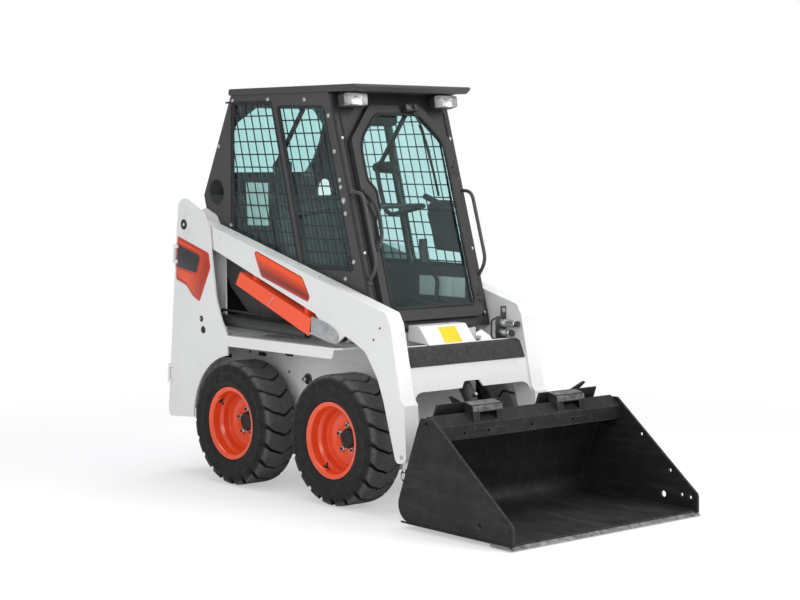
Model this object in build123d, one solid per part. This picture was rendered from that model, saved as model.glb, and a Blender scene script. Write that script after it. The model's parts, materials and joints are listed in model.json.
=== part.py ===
"""Compact skid steer loader with a bucket, as an assembly of separate pieces.

Working frame, millimetres: X across the machine with its left at +X, -Y forward,
Z up from the ground, Y zero at the front axle. Every piece is shifted along Y when
it is written, so that the origin lies under the middle of the whole machine.
"""
from build123d import *
import os
from math import atan2, cos, degrees, hypot, radians, sin, sqrt, tan

# Whole machine
WHEELBASE = 722.0
TAIL_Y = 1245.0
LIP_Y = -1203.0
Y_SHIFT = -(TAIL_Y + LIP_Y) / 2
GAP = 0.3
PIN_GAP = 0.4
SWING_GAP = 6.0
HINGE_GAP = 1.0

# Wheels
TYRE_R = 285.0
TYRE_IN_X = 268.0
TYRE_OUT_X = 472.0
LUG_HEIGHT = 17.0
LUGS = 20
LUG_SHARE = 0.5
RIM_SEAT_R = 150.0
RIM_FLANGE_R = 167.0
RIM_WALL = 5.0
RIM_FLANGE_X = 457.0
DISC_X = 346.0
DISC_T = 8.0
HUB_R = 44.0
AXLE_R = 26.0
STUDS = 5
STUD_PCD = 116.0
STUD_R = 7.0

# Lower frame
FRAME_HALF = 240.0
FRAME_WALL = 8.0
FRAME_BOTTOM = 142.0
FRAME_TOP = 745.0
FRAME_FRONT = -173.0
FRAME_REAR = 1150.0
CHAINCASE_HALF = 140.0
CHAINCASE_TOP = 400.0

# Side frames, which carry the lift arms
PLATE_T = 8.0
SIDE_OUT = 440.0
INNER_PLATE_X = 336.0
INNER_PLATE_T = 6.0
SHELF_TOP = 683.0
SHELF_FRONT = -28.0
SHELF_REAR = 764.0
SHELF_FLANGE = 48.0
ARCH_R = 310.0
TAIL_HINGE_X = SIDE_OUT + 4
TAIL_HINGES_Z = (1045.0, 475.0)
TIE_Y = 952.0
TIE_Z = SHELF_TOP + 19.0
TIE_R = 13.0

TAIL_FOOT_Y = TAIL_Y - 9.0
TAIL_FOOT_Z = 290.0
TAIL_SLOPE = 0.0905
TAILGATE_TOP = 1180.0
TAILGATE_BOTTOM = TAIL_FOOT_Z
TAILGATE_DEPTH = 22.0
LOUVRES = 9
LOUVRE_TOP = 900.0
LOUVRE_PITCH = 30.0
LOUVRE_HALF = 240.0

# Lift arms
ARM_IN = 347.0
ARM_OUT = 425.0
PIVOT_Y = 1079.0
PIVOT_Z = 1186.0
PIVOT_PIN_R = 24.0
ARM_END_R = 46.0
CROSS_PLATE_T = 10.0

# Lift cylinders
CYL_X = 385.0
BASE_Y = 957.0
BASE_Z = 750.0
ROD_PIN_Y = 14.0
ROD_PIN_Z = 730.0
BARREL_LENGTH = 720.0
BARREL_R = 28.0
BARREL_BORE_R = 22.0
ROD_R = 15.0
ROD_LENGTH = 800.0
EYE_R = 26.0
EYE_HALF = 17.0
PIN_R = 14.0

# Tilt linkage
HINGE_Y = -430.0
HINGE_Z = 180.0
HINGE_PIN_R = 15.0
HINGE_END_R = 30.0
TONGUE_IN = 356.0
TONGUE_OUT = 396.0
TILT_BASE_Y = -215.0
TILT_BASE_Z = 725.0
TILT_EYE_R = 150.0
TILT_EYE_ANGLE = 66.5
TILT_BARREL_LENGTH = 372.0
TILT_BARREL_R = 29.0
TILT_BORE_R = 22.0
TILT_ROD_R = 16.0
TILT_ROD_LENGTH = 392.0

# Coupler and bucket
BACK_LEAN = 20.5
BACK_Y = -603.0
BACK_Z = 274.0
COUPLER_IN = 119.0
COUPLER_OUT = 470.0
COUPLER_T = 10.0
COUPLER_TOP = 508.0
COUPLER_BOTTOM = 112.0
BUCKET_HALF = 549.0
EDGE_HALF = 559.0
BUCKET_SIDE_T = 10.0
BUCKET_SHELL_T = 6.0
BUCKET_TOP_Z = 418.0
BUCKET_HEEL_R = 70.0

# Cab
CAB_HALF = 334.0
CAB_WALL = 14.0
ROOF_HALF = 338.0
ROOF_TOP = 1814.0
ROOF_T = 30.0
VISOR_Y = -31.0
ROOF_REAR_Y = 870.0
FRONT_LEAN = 16.6
FRONT_TOP_Y = 125.0
FRONT_TOP_Z = ROOF_TOP - 87.0
FRONT_T = 20.0
CAB_BOTTOM = 752.0
GLASS_T = 5.0
DOOR_HALF = 292.0
DOOR_BOTTOM = 790.0
DOOR_TOP = ROOF_TOP - 92.0
KNEE_Z = ROOF_TOP - 492.0
HANDLE_TOP = ROOF_TOP - 463.0
DOOR_T = 26.0
MESH_PITCH = 58.0
MESH_WIRE = 6.0


def outline(points):
    """Closed outline; a point's third number, where it has one, rounds its corner."""
    radii = [p[2] if len(p) > 2 else 0 for p in points]
    if not any(radii):
        return make_face(Polyline(*[(p[0], p[1]) for p in points], close=True))
    return make_face(FilletPolyline(*[(p[0], p[1]) for p in points], radius=radii, close=True))


def across(points, x0, x1):
    """Plate with an outline in Y and Z, from x0 to x1 across the machine."""
    return extrude(Plane.YZ.offset(x0) * outline(points), x1 - x0)


def lying(points, z0, z1):
    """Plate with an outline in X and Y, from z0 up to z1."""
    return extrude(Plane.XY.offset(z0) * outline(points), z1 - z0)


def block(x0, x1, y0, y1, z0, z1):
    """Straight block between two corners."""
    return Pos((x0 + x1) / 2, (y0 + y1) / 2, (z0 + z1) / 2) * Box(x1 - x0, y1 - y0, z1 - z0)


def bar_x(radius, x0, x1, y, z):
    """Round bar across the machine from x0 to x1."""
    return Pos((x0 + x1) / 2, y, z) * Rot(0, 90, 0) * Cylinder(radius, x1 - x0)


def bar_between(a, b, radius):
    """Round bar from point a to point b."""
    a, b = Vector(*a), Vector(*b)
    return Plane(origin=a, z_dir=b - a) * Cylinder(
        radius, (b - a).length, align=(Align.CENTER, Align.CENTER, Align.MIN))


def shifted(path, off):
    """The same path moved to its left by an offset, with mitred corners."""
    moved = []
    for i, (y, z) in enumerate(path):
        runs = []
        if i > 0:
            runs.append((y - path[i - 1][0], z - path[i - 1][1]))
        if i < len(path) - 1:
            runs.append((path[i + 1][0] - y, path[i + 1][1] - z))
        normals = [(-dz / hypot(dy, dz), dy / hypot(dy, dz)) for dy, dz in runs]
        ny = sum(n[0] for n in normals) / len(normals)
        nz = sum(n[1] for n in normals) / len(normals)
        reach = off / (ny * ny + nz * nz)
        moved.append((y + ny * reach, z + nz * reach))
    return moved


def bent_plate(path, thickness, radii):
    """Outline of a sheet on the left of its path, with a radius on the path at each bend."""
    other = shifted(path, thickness)
    near, far = [path[0]], [other[0]]
    for i in range(1, len(path) - 1):
        before = (path[i][0] - path[i - 1][0], path[i][1] - path[i - 1][1])
        after = (path[i + 1][0] - path[i][0], path[i + 1][1] - path[i][1])
        left_turn = before[0] * after[1] - before[1] * after[0] > 0
        r = radii[i - 1]
        near.append((*path[i], r))
        far.append((*other[i], max(r - thickness if left_turn else r + thickness, 0)))
    return near + [path[-1], other[-1]] + far[:0:-1] + [far[0]]


def tube(points, radius, bend):
    """Round bar along straight runs with one bend radius."""
    path = FilletPolyline(*points, radius=bend) if len(points) > 2 else Line(*points)
    return sweep(Plane(origin=path @ 0, z_dir=path % 0) * Circle(radius), path=path)


def lug(y, z, radius, root, x0, x1):
    """Plate from x0 to x1 that runs from its root's two corners round an eye."""
    edges = [Pos(y, z) * Circle(radius).edge(), Line(*root)]
    return extrude(Plane.YZ.offset(x0) * make_hull(edges), x1 - x0)


def mirrored(solid):
    """The same piece on the machine's right."""
    return mirror(solid, Plane.YZ)


def both(solid):
    """A piece of the left side together with its like on the right."""
    return [solid, mirrored(solid)]


def joined(*solids):
    """Pieces welded into one."""
    whole = solids[0]
    for solid in solids[1:]:
        whole = whole + solid
    return whole


def save(name, *solids):
    """Write one piece, or like pieces that don't touch, at their place on the machine."""
    placed = [Pos(0, Y_SHIFT, 0) * s for s in solids]
    shape = placed[0] if len(placed) == 1 else Compound(children=placed)
    export_step(shape, f"parts/{name}.step")


# Wheels, built on the left at the front axle

AXLE_Z = TYRE_R


def hinge_barrels(place, along, radius, length):
    """The moving barrel of a hinge about a point, and the two fixed ones at its ends."""
    a = Vector(*place)
    d = Vector(*along).normalized()
    moving = bar_between(a - d * (length / 2), a + d * (length / 2), radius)
    near, far = length / 2 + HINGE_GAP, length * 0.85
    fixed = [bar_between(a + d * near, a + d * far, radius), bar_between(a - d * far, a - d * near, radius)]
    return moving, fixed


def turned_x(profile):
    """Solid of revolution about X from an outline of X and radius."""
    return revolve(outline(profile), Axis.X)


def tyre():
    """Pneumatic tyre seated on its rim, with bent lugs from both shoulders that meet in the middle."""
    seat = RIM_SEAT_R + GAP
    bead = RIM_FLANGE_R + 4
    crown = TYRE_R - LUG_HEIGHT
    shoulder = TYRE_R - 30
    body = turned_x([
        (RIM_FLANGE_X - 170, seat), (RIM_FLANGE_X - 170, bead), (TYRE_IN_X + 3, 188), (TYRE_IN_X, 226),
        (TYRE_IN_X + 9, shoulder - 2), (TYRE_IN_X + 30, crown), (TYRE_OUT_X - 30, crown),
        (TYRE_OUT_X - 9, shoulder - 2), (TYRE_OUT_X, 226), (TYRE_OUT_X - 3, 188),
        (RIM_FLANGE_X - 10, bead), (RIM_FLANGE_X - 10, seat)])
    tips = turned_x([(TYRE_IN_X + 5, shoulder - 8), (TYRE_IN_X + 8, shoulder), (TYRE_IN_X + 26, TYRE_R - 2),
                     (TYRE_IN_X + 60, TYRE_R), (TYRE_OUT_X - 60, TYRE_R), (TYRE_OUT_X - 26, TYRE_R - 2),
                     (TYRE_OUT_X - 8, shoulder), (TYRE_OUT_X - 5, shoulder - 8)])
    middle = (TYRE_IN_X + TYRE_OUT_X) / 2
    share = 2 * 3.1416 * TYRE_R / LUGS
    wide = LUG_SHARE * share
    half = (TYRE_OUT_X - TYRE_IN_X) / 2 + 4
    lug_line = [(-14, 0), (-14, wide), (half * 0.45, wide + 0.24 * share), (half, wide + 0.62 * share),
                (half, 0.62 * share), (half * 0.45, 0.24 * share)]
    blank = extrude(Plane.XY.offset(shoulder - 26) * outline(lug_line), 60)
    blocks = []
    for i in range(LUGS):
        for side in (0, 1):
            one = blank if side == 0 else mirrored(blank)
            turn = 360 * (i + side / 2) / LUGS
            blocks.append(Pos(middle, 0, 0) * Rot(turn, 0, 0) * Pos(0, -0.3 * share, 0) * one)
    return body + tips.intersect(joined(*blocks))


def rim():
    """Welded rim with flanges, dropped centre and a disc with a pilot hole and stud holes."""
    inner = RIM_FLANGE_X - 178
    seat = RIM_SEAT_R
    well = seat - 11
    w = RIM_WALL
    outer_line = [
        (inner, RIM_FLANGE_R), (inner + w, RIM_FLANGE_R), (inner + w, seat), (inner + 52, seat),
        (inner + 66, well), (RIM_FLANGE_X - 60, well), (RIM_FLANGE_X - 46, seat),
        (RIM_FLANGE_X - w, seat), (RIM_FLANGE_X - w, RIM_FLANGE_R), (RIM_FLANGE_X, RIM_FLANGE_R)]
    inner_line = [
        (RIM_FLANGE_X, seat - w), (RIM_FLANGE_X - 44, seat - w), (RIM_FLANGE_X - 58, well - w),
        (DISC_X + DISC_T + 6, well - w), (DISC_X + DISC_T, well - 14), (DISC_X + DISC_T, HUB_R + 1),
        (DISC_X, HUB_R + 1), (DISC_X, well - 14), (inner + 64, well - w), (inner + 50, seat - w),
        (inner, seat - w)]
    body = turned_x(outer_line + inner_line)
    for i in range(STUDS):
        y, z = stud_place(i)
        body -= bar_x(STUD_R + 1, DISC_X - 5, DISC_X + DISC_T + 5, y, z)
    return body


def stud_place(i):
    """Place of one wheel stud about the axle's line."""
    a = radians(90 + 360 * i / STUDS)
    return STUD_PCD / 2 * cos(a), STUD_PCD / 2 * sin(a)


def hub():
    """Axle shaft with its flange, pilot, studs and nuts."""
    back = DISC_X - GAP
    front = DISC_X + DISC_T + GAP
    body = turned_x([
        (CHAINCASE_HALF + 20, 0), (CHAINCASE_HALF + 20, AXLE_R), (back - 14, AXLE_R), (back - 14, 76),
        (back, 76), (back, HUB_R), (front + 12, HUB_R), (front + 18, HUB_R - 6), (front + 18, 0)])
    for i in range(STUDS):
        y, z = stud_place(i)
        body += bar_x(STUD_R, back - 4, front + 16, y, z)
        nut = extrude(Plane.YZ.offset(front) * Pos(y, z) * RegularPolygon(13, 6), 13)
        body += nut
    return body


def make_wheels():
    """Four wheels of one build, each as tyre, rim and hub."""
    pieces = {"tyre": tyre(), "rim": rim(), "wheel_hub": hub()}
    for end, y in (("front", 0.0), ("rear", WHEELBASE)):
        for name, solid in pieces.items():
            left = Pos(0, y, AXLE_Z) * solid
            save(f"{name}_{end}_left", left)
            save(f"{name}_{end}_right", mirrored(left))


# Lower frame and engine

def make_main_frame():
    """Welded tub with a chaincase along each side and the four axle housings."""
    w = FRAME_WALL
    side = [(FRAME_FRONT, 205, 20), (FRAME_FRONT + 45, FRAME_BOTTOM, 20), (940, FRAME_BOTTOM, 30),
            (1070, 240, 30), (FRAME_REAR, 248), (FRAME_REAR, FRAME_TOP), (FRAME_FRONT, FRAME_TOP)]
    inside = [(FRAME_FRONT + w, 209, 14), (FRAME_FRONT + 49, FRAME_BOTTOM + w, 14),
              (936, FRAME_BOTTOM + w, 30), (1066, 240 + w, 30), (FRAME_REAR - w, 248 + w),
              (FRAME_REAR - w, FRAME_TOP + 1), (FRAME_FRONT + w, FRAME_TOP + 1)]
    tub = across(side, -FRAME_HALF, FRAME_HALF) - across(inside, -FRAME_HALF + w, FRAME_HALF - w)
    case = across([(FRAME_FRONT + w, 209), (FRAME_FRONT + 49, FRAME_BOTTOM + w), (936, FRAME_BOTTOM + w),
                   (960, 180), (960, CHAINCASE_TOP, 20), (FRAME_FRONT + w, CHAINCASE_TOP)],
                  CHAINCASE_HALF, FRAME_HALF - w + 1)
    for solid in both(case):
        tub += solid
    for y in (0, WHEELBASE):
        housing = turned_x([(FRAME_HALF - 2, 0), (FRAME_HALF - 2, 58), (FRAME_HALF + 8, 58),
                            (FRAME_HALF + 14, 44), (DISC_X - 26, 44), (DISC_X - 26, 0)])
        bore = bar_x(AXLE_R + PIN_GAP, CHAINCASE_HALF + 10, DISC_X, 0, 0)
        for solid in both(Pos(0, y, AXLE_Z) * housing):
            tub += solid
        for solid in both(Pos(0, y, AXLE_Z) * bore):
            tub -= solid
    save("main_frame", tub)


ENGINE_TOP = 745.0


def make_engine():
    """The engine and pump as one plain block on the chaincases."""
    save("engine_block", block(-190, 190, 690, 1120, CHAINCASE_TOP + GAP, ENGINE_TOP))


# Side frames

def tail_y(z, off=0.0):
    """Y of the uprights' leaning rear edge at a height, with an offset to the rear."""
    return TAIL_FOOT_Y - (z - TAIL_FOOT_Z) * TAIL_SLOPE + off


def upright_outline():
    """Outer plate of the upright, from the shelf up to the arm's pivot and down the tail."""
    arch_y = SHELF_REAR
    arch_z = AXLE_Z + sqrt(ARCH_R ** 2 - (arch_y - WHEELBASE) ** 2)
    mid = radians(38)
    line = Polyline((arch_y, arch_z), (arch_y, SHELF_TOP), (808, 753), (849, 852), (886, 1068),
                    (900, 1180), (946, 1247), (1060, 1300))
    top = ThreePointArc((1060, 1300), (1112, 1304), (1147, 1273))
    back = Polyline((1147, 1273), (tail_y(1250), 1250), (TAIL_FOOT_Y, TAIL_FOOT_Z), (1222, 268),
                    (WHEELBASE + ARCH_R, 281))
    end_y = WHEELBASE + ARCH_R
    arch = ThreePointArc((end_y, 281), (WHEELBASE + ARCH_R * cos(mid), AXLE_Z + ARCH_R * sin(mid)),
                         (arch_y, arch_z))
    return make_face(line + top + back + arch)


def tail_hinge(z):
    """Barrels of one tailgate hinge: the tailgate's own and the upright's two."""
    return hinge_barrels((-TAIL_HINGE_X, tail_y(z, 7), z), (0, -TAIL_SLOPE, 1), 6.0, 52.0)


def make_side_frames():
    """Shelf over the wheels, outer and inner plates of the upright and its closed back."""
    outer = extrude(Plane.YZ.offset(SIDE_OUT - PLATE_T) * upright_outline(), PLATE_T)
    shelf_in = FRAME_HALF + GAP
    shelf = lying([(shelf_in, SHELF_FRONT), (SIDE_OUT - 30, SHELF_FRONT), (SIDE_OUT, SHELF_FRONT + 24),
                   (SIDE_OUT, SHELF_REAR + 8), (SIDE_OUT - PLATE_T, SHELF_REAR + 8),
                   (SIDE_OUT - PLATE_T, 1150), (shelf_in, 1150)], SHELF_TOP - PLATE_T, SHELF_TOP)
    flange = across([(SHELF_FRONT + 24, SHELF_TOP - 1), (SHELF_FRONT + 40, SHELF_TOP - SHELF_FLANGE, 12),
                     (SHELF_REAR + 8, SHELF_TOP - SHELF_FLANGE), (SHELF_REAR + 8, SHELF_TOP - 1)],
                    SIDE_OUT - PLATE_T, SIDE_OUT)
    inner = across([(905, SHELF_TOP - 4), (905, 1120, 20), (980, 1230, 30), (1060, 1262, 30),
                    (1112, 1248, 30), (1160, SHELF_TOP - 4)],
                   INNER_PLATE_X, INNER_PLATE_X + INNER_PLATE_T)
    inset = TAILGATE_DEPTH + SWING_GAP
    back = across([(tail_y(300, -inset - PLATE_T), 300), (tail_y(300, -inset), 300),
                   (tail_y(1130, -inset), 1130), (tail_y(1130, -inset - PLATE_T), 1130)],
                  INNER_PLATE_X, SIDE_OUT - 1)
    boss = bar_x(38, SIDE_OUT - 1, SIDE_OUT + 10, PIVOT_Y, PIVOT_Z)
    pin = bar_x(PIVOT_PIN_R, INNER_PLATE_X + 1, SIDE_OUT + 16, PIVOT_Y, PIVOT_Z)
    base_pin = bar_x(PIN_R, INNER_PLATE_X + 1, SIDE_OUT + 6, BASE_Y, BASE_Z)
    frame = joined(outer, shelf, flange, inner, back, boss, pin, base_pin)
    frame -= bar_x(TIE_R, SIDE_OUT - PLATE_T - 1, SIDE_OUT + 1, TIE_Y, TIE_Z)
    save("side_frame_left", frame)
    frame = mirrored(frame)
    for z in TAIL_HINGES_Z:
        for barrel_end in tail_hinge(z)[1]:
            c = barrel_end.center()
            frame += [barrel_end, block(-TAIL_HINGE_X - 4, -SIDE_OUT + 1, c.Y - 26, c.Y, c.Z - 8, c.Z + 8)]
    save("side_frame_right", frame)


# Tail

def make_tail():
    """Rear door with its lamps, and the grille behind the cab."""
    half = SIDE_OUT - 4
    tray_half = SIDE_OUT - PLATE_T - SWING_GAP
    lo, hi = TAILGATE_BOTTOM, TAILGATE_TOP
    thick = TAIL_Y - TAIL_FOOT_Y
    skin = across([(tail_y(lo, GAP), lo), (tail_y(lo, thick), lo), (tail_y(hi, thick), hi),
                   (tail_y(hi, GAP), hi)], -half, half)
    tray = across([(tail_y(lo, -TAILGATE_DEPTH), lo), (tail_y(lo, 1), lo), (tail_y(hi, 1), hi),
                   (tail_y(hi, -TAILGATE_DEPTH), hi)], -tray_half, tray_half)
    hollow = across([(tail_y(lo + 8, -TAILGATE_DEPTH - 1), lo + 8), (tail_y(lo + 8, 0), lo + 8),
                     (tail_y(hi - 8, 0), hi - 8), (tail_y(hi - 8, -TAILGATE_DEPTH - 1), hi - 8)],
                    -tray_half + 8, tray_half - 8)
    gate = skin + (tray - hollow)
    for i in range(LOUVRES):
        z = LOUVRE_TOP - i * LOUVRE_PITCH
        gate -= block(-LOUVRE_HALF, LOUVRE_HALF, tail_y(z) - 5, tail_y(z) + 20, z - LOUVRE_PITCH / 4,
                      z + LOUVRE_PITCH / 4)
    for z in TAIL_HINGES_Z:
        low, high = z - 25, z + 25
        leaf = across([(tail_y(low, 2), low), (tail_y(low, thick - 1), low), (tail_y(high, thick - 1), high),
                       (tail_y(high, 2), high)], -TAIL_HINGE_X, -half + 6)
        gate += [tail_hinge(z)[0], leaf]
    save("tailgate", gate)
    lamp_z = 1110.0
    lamp = Pos(372, tail_y(lamp_z, thick + GAP), lamp_z) * Rot(-90, 0, 0) * Cylinder(
        30, 18, align=(Align.CENTER, Align.CENTER, Align.MIN))
    lamp = Pos(0, 2.8, 0) * lamp
    save("tail_lights", *both(lamp))
    grille = block(-INNER_PLATE_X + GAP, INNER_PLATE_X - GAP, 1046, 1128, 1166, 1176)
    for i in range(-6, 7):
        grille -= block(i * 48 - 15, i * 48 + 15, 1058, 1116, 1160, 1180)
    save("rear_grille", grille)


def arms_profile():
    """Side view of one lift arm, from its pivot over the knee and down the front leg."""
    return [(PIVOT_Y + ARM_END_R, PIVOT_Z + 42, 40), (913, 1184), (246, 1005), (-322, 852, 25),
            (-349, 807, 30), (-417, 498), (-438, 474, 12), (-452, 240, 26), (-388, 225, 26),
            (-306, 488, 60), (-268, 577), (-191, 681, 60), (-125, 712), (143, 823), (534, 955),
            (903, 1080), (PIVOT_Y + ARM_END_R, PIVOT_Z - 42, 40)]


CROSS_PATH = [(-405, 518), (-380, 621), (-349, 690), (-300, 702)]


def make_lift_arms():
    """Both lift arms with the plate that joins their legs, the rod ears and the tilt ears."""
    arm = across(arms_profile(), ARM_IN, ARM_OUT)
    arm -= bar_x(PIVOT_PIN_R + PIN_GAP, ARM_IN - 1, ARM_OUT + 1, PIVOT_Y, PIVOT_Z)
    tongue = lug(HINGE_Y, HINGE_Z, HINGE_END_R, [(-446, 300), (-398, 300)], TONGUE_IN, TONGUE_OUT)
    tongue -= bar_x(HINGE_PIN_R + PIN_GAP, TONGUE_IN - 1, TONGUE_OUT + 1, HINGE_Y, HINGE_Z)
    ear_t = 9.0
    ear_root = [(148, 826), (-60, 742)]
    ear_spans = [(ARM_IN + 2, ARM_IN + 2 + ear_t), (ARM_OUT - 2 - ear_t, ARM_OUT - 2)]
    ears = [lug(ROD_PIN_Y, ROD_PIN_Z, 30, ear_root, *span) for span in ear_spans]
    stub = 5.0
    stubs = [bar_x(PIN_R, ARM_IN + 2, ARM_IN + 2 + ear_t + stub, ROD_PIN_Y, ROD_PIN_Z),
             bar_x(PIN_R, ARM_OUT - 2 - ear_t - stub, ARM_OUT + 4, ROD_PIN_Y, ROD_PIN_Z)]
    side = joined(arm, tongue, *ears, *stubs)
    t = CROSS_PLATE_T
    plate = across(bent_plate(CROSS_PATH, -t, [0, 14]), -ARM_IN - 1, ARM_IN + 1)
    foot = CROSS_PATH[0][1]
    notch = outline([(-70, foot - 10), (70, foot - 10), (44, foot + 28, 16), (-44, foot + 28, 16)])
    plate -= extrude(Plane.XZ.offset(320) * notch, 120)
    corner = 52.0
    gusset = across([(-418, 470), (-405, 522), (-395, 522), (-408, 470)], ARM_IN - corner, ARM_IN + 1)
    round_cut = bar_between((ARM_IN - corner, -500, 470), (ARM_IN - corner, -300, 470), corner - 4)
    gusset -= round_cut
    ear = lug(TILT_BASE_Y, TILT_BASE_Z, 30, [(-385, 560), (-330, 684)], 44, 54)
    tilt_pin = bar_x(PIN_R, -60, 60, TILT_BASE_Y, TILT_BASE_Z)
    whole = joined(side, mirrored(side), plate, gusset, mirrored(gusset), ear, mirrored(ear), tilt_pin)
    save("lift_arms", whole)


def make_arm_fittings():
    """Step pad, cover of the tilt cylinder, hose couplings and the arm's stowed strut."""
    pad_end = (CROSS_PATH[2][0] + 20, CROSS_PATH[2][1] + 20 * 12 / 49)
    pad_path = shifted([*CROSS_PATH[:3], pad_end], GAP)[1:]
    pad_half = ARM_IN - 12
    save("step_pad", across(bent_plate(pad_path, 8.0, [14 + GAP]), -pad_half, pad_half))
    t = 4.0
    top_path = [(-318, 698.1), (-250, 774), (-186, 774)]
    sheet = across(bent_plate(top_path, t, [8]), -175, 100)
    wall = across([(-314, 703), (-250, 775), (-187, 775), (-187, 712), (-296, 704)], 96, 100)
    cover = joined(sheet, wall, Pos(-271, 0, 0) * wall)
    save("tilt_cover", cover)
    plate = extrude(Plane.XZ.offset(250) * outline([
        (286, 690), (ARM_IN - GAP, 690), (ARM_IN - GAP, 840, 6), (316, 840, 6), (316, 796), (286, 796, 6)]), 6)
    plate -= Pos(331, -253, 822) * Rot(90, 0, 0) * Cylinder(8, 20)
    fitting = plate
    for z, front in ((766, -362), (724, -327)):
        fitting += Pos(316, (front - 232) / 2, z) * Rot(90, 0, 0) * Cylinder(14, -232 - front)
    save("hose_couplings", fitting)
    flange = [(686, 978), (718, 921), (188, 721), (173, 798)]
    web_t, half = 4.0, (ARM_OUT - ARM_IN) / 2
    channel = across(flange, CYL_X - half, CYL_X + half + 1)
    inside = across([(700, 978), (730, 921), (160, 708), (152, 786)], CYL_X - half + web_t,
                    CYL_X + half + 1 - web_t)
    strut = channel - Pos(0, 1.6, -4.6) * inside
    seats = [across([(y - 12, 833 + (y - 173) * 0.338 - 42), (y + 12, 833 + (y - 173) * 0.338 - 34),
                     (y + 12, 833 + (y + 12 - 173) * 0.3376 - GAP - 0.6),
                     (y - 12, 833 + (y - 12 - 173) * 0.3376 - GAP - 0.6)], CYL_X - 20, CYL_X + 20)
             for y in (230.0, 600.0)]
    save("arm_strut", mirrored(joined(strut, *seats)))


def barrel(length, radius, bore, rod, eye_half, pin):
    """Cylinder barrel along -Y from its base eye at the origin, open at its gland."""
    gland = 34.0
    body = Pos(0, -length / 2 - 10, 0) * Rot(90, 0, 0) * Cylinder(radius, length - 20)
    body += Pos(0, -length + gland / 2, 0) * Rot(90, 0, 0) * Cylinder(radius + 2, gland)
    body += bar_x(EYE_R, -eye_half, eye_half, 0, 0)
    body -= bar_x(pin + PIN_GAP, -eye_half - 20, eye_half + 20, 0, 0)
    depth = length - gland - 42
    body -= Pos(0, -42 - depth / 2, 0) * Rot(90, 0, 0) * Cylinder(bore, depth)
    body -= Pos(0, -length + gland / 2, 0) * Rot(90, 0, 0) * Cylinder(rod + PIN_GAP, gland + 4)
    return body


def rod(length, radius, eye_half, pin):
    """Cylinder rod along +Y from its eye at the origin."""
    body = Pos(0, length / 2, 0) * Rot(90, 0, 0) * Cylinder(radius, length)
    body += bar_x(EYE_R, -eye_half, eye_half, 0, 0)
    body -= bar_x(pin + PIN_GAP, -eye_half - 5, eye_half + 5, 0, 0)
    return body


def make_lift_cylinders():
    """A barrel on each upright and a rod on each arm, in line at rest."""
    angle = degrees(atan2(BASE_Z - ROD_PIN_Z, BASE_Y - ROD_PIN_Y))
    b = Pos(CYL_X, BASE_Y, BASE_Z) * Rot(angle, 0, 0) * barrel(
        BARREL_LENGTH, BARREL_R, BARREL_BORE_R, ROD_R, EYE_HALF, PIN_R)
    r = Pos(CYL_X, ROD_PIN_Y, ROD_PIN_Z) * Rot(angle, 0, 0) * rod(
        ROD_LENGTH, ROD_R, EYE_HALF, PIN_R)
    save("lift_barrel_left", b)
    save("lift_barrel_right", mirrored(b))
    save("lift_rod_left", r)
    save("lift_rod_right", mirrored(r))


def tilt_eye():
    """Place of the tilt rod's pin on the coupler."""
    a = radians(TILT_EYE_ANGLE)
    return HINGE_Y - TILT_EYE_R * cos(a), HINGE_Z + TILT_EYE_R * sin(a)


def make_tilt_cylinder():
    """Barrel on the arms' ears and rod on the coupler, in line at rest."""
    eye_y, eye_z = tilt_eye()
    angle = degrees(atan2(TILT_BASE_Z - eye_z, TILT_BASE_Y - eye_y))
    b = Pos(0, TILT_BASE_Y, TILT_BASE_Z) * Rot(angle, 0, 0) * barrel(
        TILT_BARREL_LENGTH, TILT_BARREL_R, TILT_BORE_R, TILT_ROD_R, 28.0, PIN_R)
    r = Pos(0, eye_y, eye_z) * Rot(angle, 0, 0) * rod(TILT_ROD_LENGTH, TILT_ROD_R, 20.0, PIN_R)
    save("tilt_barrel", b)
    save("tilt_rod", r)


# Coupler and bucket

def back_line(z, off=0.0):
    """Y of the plane of the bucket's back at a height, moved off squarely to the rear."""
    return BACK_Y - (z - BACK_Z) * tan(radians(BACK_LEAN)) + off / cos(radians(BACK_LEAN))


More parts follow.
